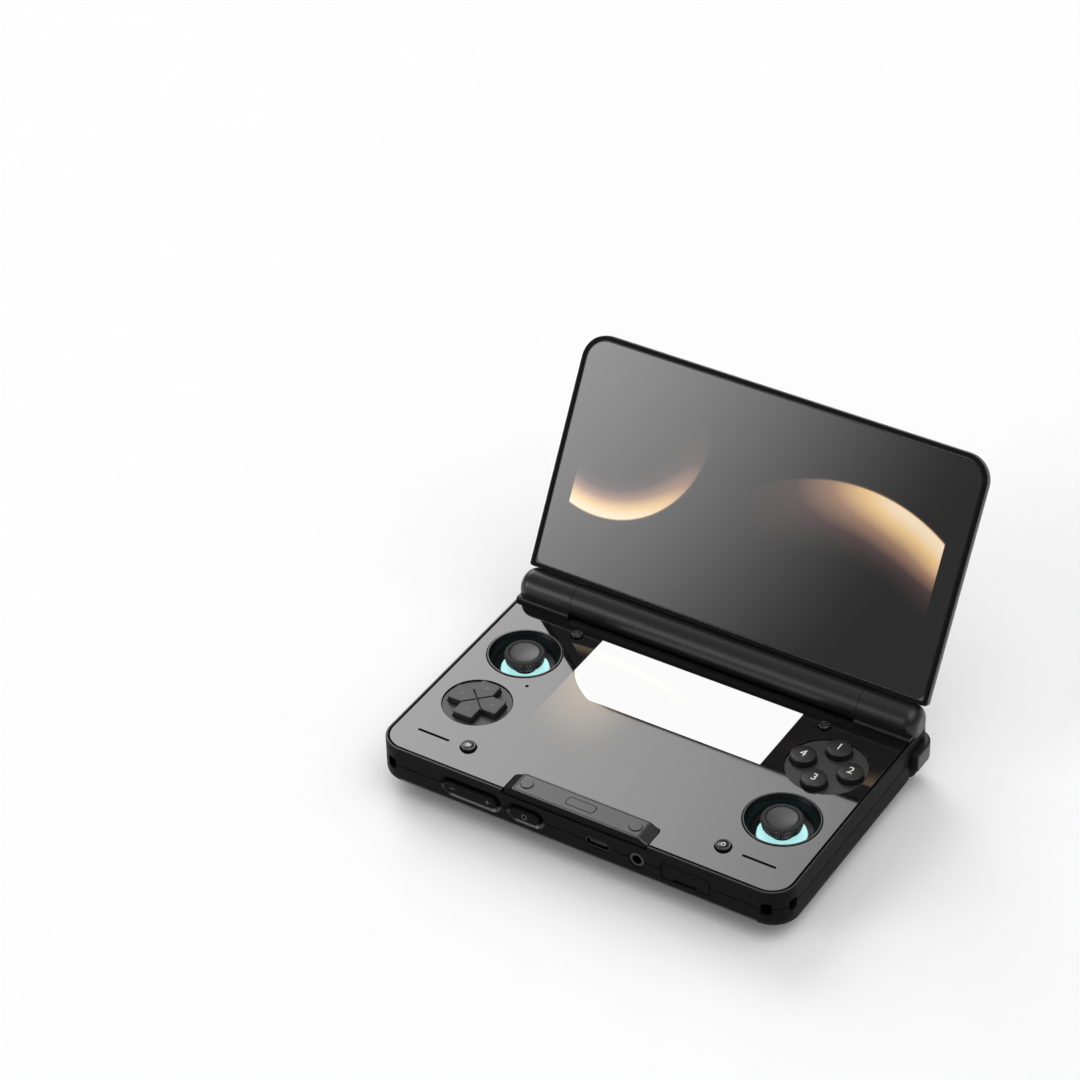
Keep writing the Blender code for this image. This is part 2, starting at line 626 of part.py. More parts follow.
def make_deck_top(deck):
    glass = (0.010, 0.010, 0.011), 0.08
    inset = RIM + GAP
    outline = rounded(-HALF + inset, HALF - inset, inset, HINGE_Y - KNUCKLE_R / 2, FRONT_CORNER - inset, WALL)
    sheet = solid("deck_glass", [upright(outline, -GLASS_T, 0.0)], glass, deck)
    cuts = [along_x(circle(HINGE_Y, HINGE_Z, TROUGH_R + GAP), -CASE_WIDTH, CASE_WIDTH)]
    combine(sheet, cutter("glass_rear_cut", cuts, deck))
    combine(sheet, cutter("glass_tail_cut", [block(-CASE_WIDTH, CASE_WIDTH, HINGE_Y - TROUGH_R / 2,
                                                   CASE_DEPTH, -CUT_OVERRUN, CUT_OVERRUN)], deck))
    holes = []
    for x, y, radius in ((-PAD_X, PAD_REAR_Y, WELL_R), (PAD_X, PAD_FRONT_Y, WELL_R),
                         (-PAD_X, PAD_FRONT_Y, DPAD_DISC_R), (PAD_X, PAD_REAR_Y, FACE_DISC_R)):
        holes.append(disc(x, y, radius, -CUT_OVERRUN, CUT_OVERRUN))
    for x, y, radius in (SMALL_FRONT, SMALL_REAR):
        for side in (-1, 1):
            holes.append(disc(side * x, y, radius + GAP, -CUT_OVERRUN, CUT_OVERRUN, SMALL_STEPS))
    x, y, half, tall = SPEAKER_SLOT
    for side in (-1, 1):
        holes.append(upright(rounded(side * x - half, side * x + half, y - tall, y + tall, tall * 0.9, steps=3),
                             -CUT_OVERRUN, CUT_OVERRUN))
    x, y, radius = MIC
    holes.append(disc(x, y, radius, -CUT_OVERRUN, CUT_OVERRUN, 12))
    holes.append(upright(rounded(-LEDGE_HALF - GAP, LEDGE_HALF + GAP, -CUT_OVERRUN, LEDGE_DEPTH + GAP,
                                 LEDGE_SLOPE), -CUT_OVERRUN, CUT_OVERRUN))
    combine(sheet, cutter("glass_holes_cut", holes, deck))
    screen = (0.02, 0.02, 0.022), 0.15
    solid("lower_display", [block(-SCREEN_HALF, SCREEN_HALF, SCREEN_FRONT, SCREEN_REAR,
                                  -GLASS_T - GAP - SCREEN_T, -GLASS_T - GAP)], screen, deck)


def make_ledge(deck, black):
    rings = []
    side_share, front_share, rear_share = 0.7, 0.3, 0.4
    for z, inward in ((-GLASS_T, 0.0), (0.0, 0.0), (LEDGE_TOP - LEDGE_FRONT, LEDGE_SLOPE * side_share),
                      (LEDGE_TOP, LEDGE_SLOPE)):
        outline = rounded(-LEDGE_HALF + inward, LEDGE_HALF - inward, LEDGE_FRONT + inward * front_share,
                          LEDGE_DEPTH - inward * rear_share, LEDGE_SLOPE)
        rings.append([(x, y, z) for x, y in outline])
    ledge = solid("front_ledge", [skin(rings)], black, deck)
    x, y, radius = BUMPER
    cuts = [disc(side * x, y, radius + GAP, LEDGE_TOP - 2 * GAP, CUT_OVERRUN, SMALL_STEPS) for side in (-1, 1)]
    half, deep = BADGE_HALF
    cuts.append(upright(rounded(-half - GAP, half + GAP, y - deep - GAP, y + deep + GAP, GAP * 2),
                        LEDGE_TOP - BADGE_SINK - GAP, CUT_OVERRUN))
    combine(ledge, cutter("ledge_cut", cuts, deck))
    pads = [turned([(radius, LEDGE_TOP - 4 * GAP), (radius, LEDGE_TOP), (radius - GAP, LEDGE_TOP + GAP)],
                   SMALL_STEPS, side * x, y) for side in (-1, 1)]
    combine(ledge, cutter("ledge_pad_form", pads, deck), "UNION")


# Sticks

def make_stick(deck, name, x, y, black):
    """Bowl, light ring, housing, carrier (click), yoke (tilt about X) and stick (tilt about Y)."""
    drop_shares = (0.0, 0.3, 0.55, 0.75, 0.9, 1.0)
    inner = [(BOWL_LOW_R + (WELL_R - GAP - BOWL_WALL_TOP - BOWL_LOW_R) * math.sqrt(1 - t * t),
              -GAP - (BOWL_DEPTH - GAP) * t) for t in drop_shares]
    outer = WELL_R - GAP
    section = ([(outer, -BOWL_DEPTH - BOWL_LIP), (outer, 0.0), (outer - BOWL_WALL_TOP, 0.0)] + inner
               + [(BOWL_LOW_R, -BOWL_DEPTH - BOWL_LIP)])
    solid(name + "_stick_bowl", [turned_ring(section, ROUND_STEPS, x, y)], black, deck)
    light_top = -BOWL_DEPTH - GAP
    outer_light = BOWL_LOW_R - GAP
    solid(name + "_light_ring", [turned_ring([(LIGHT_IN_R, light_top - LIGHT_T), (outer_light, light_top - LIGHT_T),
                                              (outer_light, light_top), (LIGHT_IN_R, light_top)],
                                             ROUND_STEPS, x, y)], ((0.25, 0.85, 0.80), 0.4), deck)
    metal = (0.30, 0.30, 0.31), 0.4, 1.0
    box = STICK_BOX
    housing = solid(name + "_stick_housing", [block(x - box, x + box, y - box, y + box, -STICK_BOX_LOW,
                                                    -STICK_BOX_TOP)], metal, deck)
    room = box - STICK_BOX_WALL
    combine(housing, cutter(name + "_housing_cut",
                            [block(x - room, x + room, y - room, y + room, -STICK_BOX_LOW + STICK_BOX_WALL,
                                   -STICK_BOX_TOP - STICK_BOX_WALL)], deck))
    combine(housing, cutter(name + "_housing_mouth",
                            [disc(x, y, LIGHT_IN_R - GAP, -STICK_PIVOT, CUT_OVERRUN, SMALL_STEPS)], deck))
    centre = (x, y, -STICK_PIVOT)
    plastic = (0.6, 0.6, 0.58), 0.5
    frame_out = room - GAP
    frame_in = frame_out - 3 * GAP
    tall = 3 * GAP
    solid(name + "_stick_carrier", [frame_shape(frame_out, frame_in, -tall - 2 * GAP, tall - 2 * GAP)],
          plastic, deck, centre)
    yoke_out = frame_in - 2 * GAP
    yoke_in = yoke_out - 4 * GAP
    solid(name + "_stick_yoke", [frame_shape(yoke_out, yoke_in, -2 * GAP, 2 * GAP)], plastic, deck, centre)
    cap = CAP_TOP + STICK_PIVOT
    low = STICK_PIVOT - CAP_LOW
    ball = yoke_in - GAP
    ball_shares = ((0.45, -0.6), (0.8, -0.4), (0.9, 0.0), (0.8, 0.4), (STEM_R / ball, 0.6))
    profile = [(ball * across, ball * up) for across, up in ball_shares]
    profile += [(STEM_R, low - GAP), (CAP_LOW_R - 2 * GAP, low),
                (CAP_LOW_R, low + GAP), (CAP_R, cap - 5 * GAP), (CAP_R, cap - 2 * GAP),
                (CAP_R - 2 * GAP, cap), (CAP_R - 4 * GAP, cap), (CAP_R - 6 * GAP, cap - GAP),
                (CAP_R / 2, cap - 2 * GAP)]
    solid(name + "_stick", [turned(profile, STICK_STEPS)], black, deck, centre)


def frame_shape(outer, inner, low, high):
    """A square ring."""
    shape = bmesh.new()
    rings = []
    for half in (outer, inner):
        for z in (low, high):
            rings.append([shape.verts.new((sx * half, sy * half, z))
                          for sx, sy in ((-1, -1), (1, -1), (1, 1), (-1, 1))])
    out_low, out_high, in_low, in_high = rings
    for i in range(4):
        j = (i + 1) % 4
        shape.faces.new((out_low[i], out_low[j], out_high[j], out_high[i]))
        shape.faces.new((in_low[j], in_low[i], in_high[i], in_high[j]))
        shape.faces.new((out_high[i], out_high[j], in_high[j], in_high[i]))
        shape.faces.new((out_low[j], out_low[i], in_low[i], in_low[j]))
    return flipped_outward(shape)


# D-pad and buttons

def cross_outline(grow=0.0):
    """A plus with slightly rounded arm ends."""
    half = DPAD_HALF + grow
    reach = DPAD_ARM + grow
    swell_share = 0.18
    swell = half * swell_share
    quarter = [(half, half), (reach - swell, half), (reach, half * 0.5), (reach, -half * 0.5),
               (reach - swell, -half)]
    points = []
    for k in range(4):
        turn = -math.pi / 2 * k
        for px, py in quarter:
            points.append((px * math.cos(turn) - py * math.sin(turn), px * math.sin(turn) + py * math.cos(turn)))
    return points


def make_dpad(deck, black):
    plate_top = -PLATE_SINK
    plate_low = PLATE_LOW
    plate = solid("dpad_plate", [disc(-PAD_X, PAD_FRONT_Y, DPAD_DISC_R - GAP, plate_low, plate_top)],
                  ((0.03, 0.03, 0.032), 0.5), deck)
    place = (-PAD_X, PAD_FRONT_Y, plate_low)
    combine(plate, cutter("dpad_hole", [upright(cross_outline(GAP), -CUT_OVERRUN, CUT_OVERRUN)], deck, place))
    post = [turned([(STEM_R, -DPAD_POST), (STEM_R, -2 * GAP), (STEM_R / 2, -GAP)], SMALL_STEPS)]
    solid("dpad_pivot", post, ((0.6, 0.6, 0.58), 0.5), deck, (-PAD_X, PAD_FRONT_Y, plate_low))
    rise = DPAD_TOP - plate_low
    rings = []
    for inward, z in ((0.0, 0.0), (0.0, rise - 2 * GAP), (2 * GAP, rise)):
        rings.append([(px, py, z) for px, py in cross_outline(-inward)])
    pad = solid("dpad", [skin(rings)], black, deck, place)
    wide, deep = GAP, 2 * GAP
    grooves = []
    for turn in (45, 135):
        outline = [(-DPAD_HALF * 1.5, -wide), (DPAD_HALF * 1.5, -wide), (DPAD_HALF * 1.5, wide),
                   (-DPAD_HALF * 1.5, wide)]
        groove = upright(outline, rise - deep, rise + CUT_OVERRUN)
        bmesh.ops.rotate(groove, cent=(0, 0, 0), matrix=Matrix.Rotation(math.radians(turn), 3, "Z"),
                         verts=groove.verts)
        grooves.append(groove)
    for groove in grooves:
        combine(pad, cutter("dpad_groove", [groove], deck, place))


def face_places():
    return {"top": (PAD_X, PAD_REAR_Y + FACE_SPREAD), "right": (PAD_X + FACE_SPREAD, PAD_REAR_Y),
            "bottom": (PAD_X, PAD_REAR_Y - FACE_SPREAD), "left": (PAD_X - FACE_SPREAD, PAD_REAR_Y)}


def make_face_buttons(deck, black):
    plate = solid("face_button_plate", [disc(PAD_X, PAD_REAR_Y, FACE_DISC_R - GAP, PLATE_LOW, -PLATE_SINK)],
                  ((0.03, 0.03, 0.032), 0.5), deck)
    holes = [disc(x, y, FACE_R + GAP, PLATE_LOW - CUT_OVERRUN, CUT_OVERRUN, SMALL_STEPS)
             for x, y in face_places().values()]
    combine(plate, cutter("face_holes", holes, deck))
    for name, (x, y) in face_places().items():
        low = PLATE_LOW - GAP
        profile = [(FACE_R + BUTTON_FLANGE, -BUTTON_FLANGE_T), (FACE_R + BUTTON_FLANGE, 0.0), (FACE_R, 0.0),
                   (FACE_R, FACE_TOP - low - 2 * GAP), (FACE_R - 2 * GAP, FACE_TOP - low),
                   (FACE_R / 2, FACE_TOP - low + GAP / 2)]
        solid("face_button_" + name, [turned(profile)], black, deck, (x, y, low))


def make_small_buttons(deck, black):
    for word, (x, y, radius) in (("front", SMALL_FRONT), ("rear", SMALL_REAR)):
        for name, side in (("left", -1), ("right", 1)):
            low = PLATE_LOW - GAP
            rise = SMALL_TOP - low
            profile = [(radius + BUTTON_FLANGE, -BUTTON_FLANGE_T), (radius + BUTTON_FLANGE, 0.0), (radius, 0.0),
                       (radius, rise - 2 * GAP), (radius * 0.75, rise - GAP / 2), (radius * 0.4, rise)]
            solid(name + "_" + word + "_button", [turned(profile, SMALL_STEPS)], black, deck, (side * x, y, low))


# Front face

def make_front_keys(deck, black):
    for name, (x, z, half, tall) in (("volume_rocker", ROCKER), ("power_button", POWER_KEY)):
        flange = WALL + 2 * GAP
        rings = []
        for y, grow in ((-KEY_PROUD, -GAP), (-KEY_PROUD + GAP, 0.0), (flange, 0.0), (flange + GAP / 2, KEY_FLANGE),
                        (flange + KEY_FLANGE, KEY_FLANGE)):
            outline = rounded(-half - grow, half + grow, -tall - grow, tall + grow, tall + grow - GAP)
            rings.append([(px, y, pz) for px, pz in outline])
        solid(name, [skin(rings)], black, deck, (x, 0.0, z))


def make_sockets(deck):
    metal = (0.45, 0.45, 0.46), 0.35, 1.0
    x, z, half, tall = USB
    deep = SOCKET_DEEP
    start = GAP
    port = solid("usb_port", [along_y(rounded(x - half, x + half, z - tall, z + tall, tall - GAP), start, deep)],
                 metal, deck)
    wall = GAP
    mouth = cutter("usb_mouth", [along_y(rounded(x - half + wall, x + half - wall, z - tall + wall,
                                                 z + tall - wall, tall - GAP - wall), -CUT_OVERRUN, deep - 2 * wall)],
                   deck)
    combine(mouth, cutter("usb_tongue_keep", [block(x - half * 0.7, x + half * 0.7, start + 2 * wall,
                                                    deep, z - GAP, z + GAP)], deck))
    combine(port, mouth)
    x, z, radius = JACK
    jack = solid("headphone_jack", [along_y(circle(x, z, radius + 2 * GAP, SMALL_STEPS), start, deep * 1.6)],
                 ((0.02, 0.02, 0.02), 0.5), deck)
    combine(jack, cutter("jack_bore", [along_y(circle(x, z, radius - GAP, SMALL_STEPS), -CUT_OVERRUN,
                                               deep * 1.5)], deck))
    x, z, half, tall = CARD
    half -= 3 * GAP
    tall -= 4 * GAP
    near = COVER_T + 2 * GAP
    reader = solid("card_reader", [block(x - half, x + half, near, FRONT_BOARD[3], z - tall, z + tall)],
                   metal, deck)
    combine(reader, cutter("card_slot_cut", [block(x - half + 2 * GAP, x + half - 2 * GAP, -CUT_OVERRUN,
                                                   FRONT_BOARD[3] - 2 * GAP, z - 2 * GAP, z + 2 * GAP)], deck))


def make_card_cover(deck, black):
    x, z, half, tall = CARD
    axis_y, axis_z = COVER_T / 2, z + tall - COVER_T / 2
    radius = COVER_T / 2
    low = -(2 * tall - radius)
    outline = (arc(0.0, 0.0, radius, 0, 180, 8) + [(-radius, low + GAP), (-radius + GAP, low), (radius, low)])
    cover = solid("card_cover", [along_x(outline, -half, half)], black, deck, (x, axis_y, axis_z))
    combine(cover, cutter("card_nail_cut", [along_x(circle(-radius - GAP, low, 3 * GAP, 12), -half / 2, half / 2)],
                          deck, (x, axis_y, axis_z)))


# Rear corners

def make_shoulders(deck, black):
    for name, side in (("left", -1), ("right", 1)):
        pivot_x, pivot_y = SHOULDER_IN + SHOULDER_AXIS_IN, SHOULDER_REAR - SHOULDER_AXIS_DEEP
        thick = SHOULDER_T
        corner = SHOULDER_CORNER
        outline = ([(SHOULDER_IN, SHOULDER_REAR - thick * 1.6), (SHOULDER_IN + thick, SHOULDER_REAR - thick * 1.6)]
                   + [(SHOULDER_OUT - 1.9 * thick, SHOULDER_REAR - thick * 1.6),
                      (SHOULDER_OUT - thick, SHOULDER_REAR - thick * 2.2),
                      (SHOULDER_OUT - thick * 0.85, SHOULDER_FRONT + GAP)]
                   + arc(SHOULDER_OUT - GAP * 2, SHOULDER_FRONT + GAP * 2, GAP * 2, 270, 360, 2)
                   + arc(SHOULDER_OUT - corner, SHOULDER_REAR - corner, corner, 0, 90, 7)
                   + arc(SHOULDER_IN + GAP * 2, SHOULDER_REAR - GAP * 2, GAP * 2, 90, 180, 2))
        middle = -(SHOULDER_TOP + SHOULDER_LOW) / 2
        rings = []
        height = (SHOULDER_LOW - SHOULDER_TOP) / 2
        for share, inward in ((-1.0, 0.10), (-0.86, 0.0), (0.0, -0.015), (0.86, 0.0), (1.0, 0.10)):
            ring = []
            for px, py in outline:
                bulge = 1 - inward * thick / (SHOULDER_OUT - pivot_x)
                ring.append((side * (pivot_x + (px - pivot_x) * bulge) - side * pivot_x,
                             pivot_y + (py - pivot_y) * bulge - pivot_y, share * height))
            rings.append(ring)
        solid(name + "_shoulder_button", [skin(rings)], black, deck, (side * pivot_x, pivot_y, middle))


def make_triggers(deck, black):
    """Each trigger is its rear outline and its side outline, drawn through one another."""
    top = -SHOULDER_LOW - GAP
    for name, side in (("left", -1), ("right", 1)):
        low = -TRIGGER_LOW
        drop = top - low
        wide = TRIGGER_OUT - SHOULDER_IN
        axis_y, axis_z = TRIGGER_FRONT + TRIGGER_AXIS, top - TRIGGER_AXIS
        inner_share, outer_share, rear_share, front_share = 0.45, 0.75, 0.7, 0.5
        heel = SHOULDER_IN + wide * 0.35
        toe = SHOULDER_IN + wide * 0.62
        rear_view = [(SHOULDER_IN, top)]
        rear_view += arc_between(SHOULDER_IN, low + drop * inner_share, heel, low, 5)
        rear_view += list(reversed(arc_between(TRIGGER_OUT, low + drop * outer_share, toe, low, 6)))
        rear_view += [(TRIGGER_OUT, top)]
        rear_view = [(side * (px - SHOULDER_IN), pz - axis_z) for px, pz in rear_view]
        deep = TRIGGER_REAR - TRIGGER_FRONT
        curve = arc_between(TRIGGER_REAR, low + drop * rear_share, TRIGGER_REAR - deep * rear_share, low, 5)
        side_view = [(axis_y, top), (TRIGGER_FRONT, axis_z), (TRIGGER_FRONT, low + drop * front_share),
                     (TRIGGER_FRONT + GAP, low)]
        side_view += list(reversed(curve)) + [(TRIGGER_REAR, top)]
        side_view = [(py - axis_y, pz - axis_z) for py, pz in side_view]
        place = (side * SHOULDER_IN, axis_y, axis_z)
        trigger = solid(name + "_trigger", [along_y(rear_view, -deep, deep)], black, deck, place)
        near, far = sorted((-side * CUT_OVERRUN, side * (wide + CUT_OVERRUN)))
        combine(trigger, cutter(name + "_trigger_form", [along_x(side_view, near, far)], deck, place), "INTERSECT")


def arc_between(u0, v0, u1, v1, steps):
    """A quarter ellipse that leaves (u0, v0) upright and reaches (u1, v1) level."""
    points = []
    for k in range(steps + 1):
        angle = math.pi / 2 * k / steps
        points.append((u1 + (u0 - u1) * math.cos(angle), v0 + (v1 - v0) * math.sin(angle)))
    return points


# Works inside the base

def make_works(deck):
    green = (0.02, 0.10, 0.05), 0.5
    dark = (0.02, 0.02, 0.02), 0.6
    rubber = (0.25, 0.25, 0.25), 0.8
    half, y0, y1, low, high = BATTERY
    solid("battery", [upright(rounded(-half, half, y0, y1, WALL), -low, -high)], ((0.03, 0.03, 0.035), 0.5), deck)
    y0, y1, low, high = MAIN_BOARD
    edge = HALF - WALL - GAP
    board = solid("main_board", [block(-edge, edge, y0, y1, -low, -high)], green, deck)
    hole = STICK_BOX + 2 * GAP
    cuts = [block(x - hole, x + hole, y - hole, y + hole, -low - CUT_OVERRUN, CUT_OVERRUN)
            for x, y in ((-PAD_X, PAD_REAR_Y), (PAD_X, PAD_FRONT_Y))]
    combine(board, cutter("board_cut", cuts, deck))
    x0, x1, y0, y1, low, high = FRONT_BOARD
    solid("front_board", [block(x0, x1, y0, y1, -low, -high)], green, deck)
    mat_low = -MAIN_BOARD[3] + GAP
    for name, x, y, radius in (("dpad_mat", -PAD_X, PAD_FRONT_Y, DPAD_ARM),
                               ("face_button_mat", PAD_X, PAD_REAR_Y, FACE_SPREAD + FACE_R)):
        solid(name, [disc(x, y, radius, mat_low, mat_low + MAT_T, SMALL_STEPS)], rubber, deck)
    x, y, half = SPEAKER_SLOT[0], SPEAKER_SLOT[1], SPEAKER_SLOT[2] + GAP * 2
    for name, side in (("left", -1), ("right", 1)):
        solid(name + "_speaker", [block(side * x - half, side * x + half, WALL + 2 * GAP, y + half / 2,
                                        -SEAM_DEPTH, PLATE_LOW - GAP)], dark, deck)
    make_fan(deck)
    x0, x1, y0, y1 = SINK
    low, high = FAN[3], FAN[4]
    base = (low - high) * SINK_BASE_SHARE
    pitch = (y1 - y0) / SINK_FINS
    fin = pitch * FIN_SHARE
    outline = [(y0, -high)]
    for k in range(SINK_FINS):
        y = y0 + k * pitch
        outline += [(y, -low), (y + fin, -low)]
        if k < SINK_FINS - 1:
            outline += [(y + fin, -high - base), (y + pitch, -high - base)]
    outline.append((y + fin, -high))
    solid("heat_sink", [along_x(outline, x0, x1)], ((0.7, 0.7, 0.7), 0.35, 1.0), deck)


def make_fan(deck):
    x, y, half, low, high = FAN
    housing = solid("fan_housing", [upright(rounded(x - half, x + half, y - half, y + half, WALL), -low, -high)],
                    ((0.03, 0.03, 0.03), 0.5), deck)
    top = FLOOR / 2
    intake = FAN_BORE * FAN_INTAKE_SHARE
    combine(housing, cutter("fan_bore", [disc(x, y, FAN_BORE, -low + top, -high - top)], deck))
    combine(housing, cutter("fan_intake", [disc(x, y, intake, -low - CUT_OVERRUN, -low + 2 * top)], deck))
    combine(housing, cutter("fan_outlet", [block(x, x + half + CUT_OVERRUN, y - WALL, y + intake,
                                                 -low + top, -high - top)], deck))
    hub = FAN_BORE * FAN_HUB_SHARE
    root = hub - top
    reach = FAN_BORE - 2 * GAP
    bottom, upper = -low + top + GAP, -high - top - GAP
    middle = (bottom + upper) / 2
    tall = (upper - bottom) / 2
    rotor = solid("fan_rotor", [disc(0.0, 0.0, hub, -tall, tall)], ((0.02, 0.02, 0.02), 0.5), deck,
                  (x, y, middle))
    blades = []
    for k in range(FAN_BLADES):
        start = 2 * math.pi * k / FAN_BLADES
        sweep = 0.5
        outline = []
        for share, offset in ((0.0, -1), (0.5, -1), (1.0, -1), (1.0, 1), (0.5, 1), (0.0, 1)):
            radius = root + (reach - root) * share
            angle = start + sweep * share + offset * GAP / radius
            outline.append((radius * math.cos(angle), radius * math.sin(angle)))
        blades.append(upright(outline, -tall + GAP, tall - GAP))
    combine(rotor, cutter("blade_form", blades, deck, (x, y, middle)), "UNION")


def make_pins_and_feet(deck):
    steel = (0.5, 0.5, 0.5), 0.3, 1.0
    for name, side in (("left", -1), ("right", 1)):
        near, far = sorted((side * PIN_INNER, side * PIN_OUTER))
        solid(name + "_hinge_pin", [along_x(circle(HINGE_Y, HINGE_Z, PIN_R, SMALL_STEPS), near, far)], steel, deck)
        for word, y in (("front", FRONT_POD_Y), ("rear", REAR_FOOT_Y)):
            foot = turned([(FOOT_R - GAP, -FOOT_BOTTOM), (FOOT_R, -FOOT_BOTTOM + GAP),
                           (FOOT_R, -POD_BOTTOM - GAP)], SMALL_STEPS, side * POD_X, y)
            solid(name + "_" + word + "_foot", [foot], ((0.012, 0.012, 0.012), 0.8), deck)


# Lid

def lid_outline(inward):
    return rounded(-HALF + inward, HALF - inward, LID_LOW, LID_TOP - inward, LID_LOW_CORNER,
                   LID_CORNER - inward * 0.8)


def hinge_section():
    """The barrel with the web that carries it to the lid, in y (up the lid) and z (out of its face)."""
    web_front = LID_BACK + 2.6 * LID_BACK_T
    reach = LID_LOW + LID_WALL
    start = math.degrees(math.asin(web_front / KNUCKLE_R))
    return ([(reach, LID_BACK), (reach, web_front)]
            + arc(0.0, 0.0, KNUCKLE_R, start, 270, 20))


def make_lid(hinge, black):
    grey = (0.16, 0.16, 0.165), 0.45, 0.3
    rings = []
    for angle in (0, 25, 45, 65, 90):
        turn = math.radians(angle)
        inward = LID_EDGE_ROUND * (1 - math.sin(turn))
        z = LID_BACK + LID_EDGE_ROUND * (1 - math.cos(turn))
        rings.append([(x, y, z) for x, y in lid_outline(inward)])
    rings.append([(x, y, LID_FACE - LID_FACE_BEVEL) for x, y in lid_outline(0.0)])
    rings.append([(x, y, LID_FACE) for x, y in lid_outline(LID_FACE_BEVEL)])
    cover = solid("lid_back_cover", [skin(rings)], grey, hinge)
    barrel = along_x(hinge_section(), -KNUCKLE_IN + GAP, KNUCKLE_IN - GAP)
    combine(cover, cutter("barrel_form", [barrel], hinge), "UNION")
    inset = LID_WALL + GAP
    cavity_low = LID_LOW + LID_WALL
    bezel_top = LID_FACE - LID_GLASS_INSET - LID_GLASS_T - GAP
    room = rounded(-HALF + inset, HALF - inset, cavity_low, LID_TOP - inset, LID_LOW_CORNER, LID_CORNER - inset)
    deep = rounded(-HALF + LID_EDGE_ROUND, HALF - LID_EDGE_ROUND, cavity_low, LID_TOP - LID_EDGE_ROUND,
                   LID_LOW_CORNER, LID_CORNER - LID_EDGE_ROUND + GAP)
    combine(cover, cutter("lid_room_cut", [skin([[(x, y, LID_BACK + LID_BACK_T) for x, y in deep],
                                                 [(x, y, bezel_top - LID_SCREEN_T - GAP) for x, y in room],
                                                 [(x, y, LID_FACE + CUT_OVERRUN) for x, y in room]])], hinge))
    bores = []
    for side in (-1, 1):
        near, far = sorted((side * (PIN_INNER - GAP), side * CASE_WIDTH))
        bores.append(along_x(circle(0.0, 0.0, PIN_R + GAP, SMALL_STEPS), near, far))
    bore = cutter("barrel_bore", bores, hinge)
    combine(cover, bore)
    grooves = []
    for side in (-1, 1):
        ring = turned_ring([(KNUCKLE_R - GAP, -GAP / 2), (KNUCKLE_R + GAP, -GAP / 2), (KNUCKLE_R + GAP, GAP / 2),
                            (KNUCKLE_R - GAP, GAP / 2)])
        bmesh.ops.rotate(ring, cent=(0, 0, 0), matrix=Matrix.Rotation(math.pi / 2, 3, "Y"), verts=ring.verts)
        bmesh.ops.translate(ring, vec=(side * CAP_IN, 0, 0), verts=ring.verts)
        grooves.append(ring)
    combine(cover, cutter("cap_groove", grooves, hinge))
    bezel_out = rounded(-HALF + inset + GAP, HALF - inset - GAP, cavity_low + GAP, LID_TOP - inset - GAP,
                        LID_LOW_CORNER, LID_CORNER - inset - GAP)
    bezel = solid("lid_bezel", [upright(bezel_out, bezel_top - LID_SCREEN_T, bezel_top)], black, hinge)
    window = block(-LID_SCREEN_HALF - GAP, LID_SCREEN_HALF + GAP, LID_SCREEN_LOW - GAP, LID_SCREEN_HIGH + GAP,
                   LID_BACK, LID_FACE)
    combine(bezel, cutter("bezel_window", [window], hinge))
    glass_out = rounded(-HALF + LID_GLASS_SIDE, HALF - LID_GLASS_SIDE, cavity_low + GAP, LID_TOP - LID_GLASS_SIDE - GAP,
                        3 * LID_LOW_CORNER, LID_CORNER - LID_GLASS_SIDE)
    solid("lid_glass", [upright(glass_out, LID_FACE - LID_GLASS_INSET - LID_GLASS_T, LID_FACE - LID_GLASS_INSET)],
          ((0.010, 0.010, 0.011), 0.08), hinge)
    solid("upper_display", [block(-LID_SCREEN_HALF, LID_SCREEN_HALF, LID_SCREEN_LOW, LID_SCREEN_HIGH,
                                  bezel_top - LID_SCREEN_T, bezel_top)], ((0.02, 0.02, 0.022), 0.15), hinge)


def main():
    wipe()
    black = (0.014, 0.014, 0.015), 0.42
    deck = empty("deck", (0.0, -MID_Y, FOOT_BOTTOM))
    hinge = empty("hinge", (0.0, HINGE_Y, HINGE_Z), deck, math.pi / 2 - LID_LEAN)
    openings = front_openings(deck)
    make_upper_case(deck, openings, black)
    make_lower_case(deck, openings, black)
    make_deck_top(deck)
    make_ledge(deck, black)
    make_stick(deck, "left", -PAD_X, PAD_REAR_Y, black)
    make_stick(deck, "right", PAD_X, PAD_FRONT_Y, black)
    make_dpad(deck, black)
    make_face_buttons(deck, black)
    make_small_buttons(deck, black)
    make_front_keys(deck, black)
    make_sockets(deck)
    make_card_cover(deck, black)
    make_shoulders(deck, black)
    make_triggers(deck, black)
    make_works(deck)
    make_pins_and_feet(deck)
    make_lid(hinge, black)


main()
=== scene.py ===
"""Finishes and fine forms of a clamshell handheld game console.

Fixed pieces are drawn on the deck's axes: x from the middle, y back from the front
face, z up from the glass. The lid is drawn on the hinge's axes: x along the hinge,
y up the lid, z out of its face. A finished shape is then moved to its place in the mesh.
"""

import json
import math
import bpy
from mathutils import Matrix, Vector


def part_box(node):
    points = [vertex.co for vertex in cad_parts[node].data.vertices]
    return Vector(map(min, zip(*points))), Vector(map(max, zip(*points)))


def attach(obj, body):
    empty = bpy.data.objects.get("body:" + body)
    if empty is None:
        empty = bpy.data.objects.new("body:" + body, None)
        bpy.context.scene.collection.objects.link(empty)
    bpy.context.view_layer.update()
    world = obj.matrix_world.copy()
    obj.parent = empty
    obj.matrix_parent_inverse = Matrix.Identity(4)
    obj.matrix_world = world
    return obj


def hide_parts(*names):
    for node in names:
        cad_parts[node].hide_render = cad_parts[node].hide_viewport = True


bl_info = {
    "name": "Clamshell handheld console",
    "version": (1, 0, 0),
    "blender": (4, 5, 0),
    "location": "View3D > Sidebar > Console",
    "description": "Builds the pieces, finishes and studio of a folding handheld game console",
    "category": "Add Mesh",
}

import bmesh
import bpy
from mathutils import Matrix, Vector

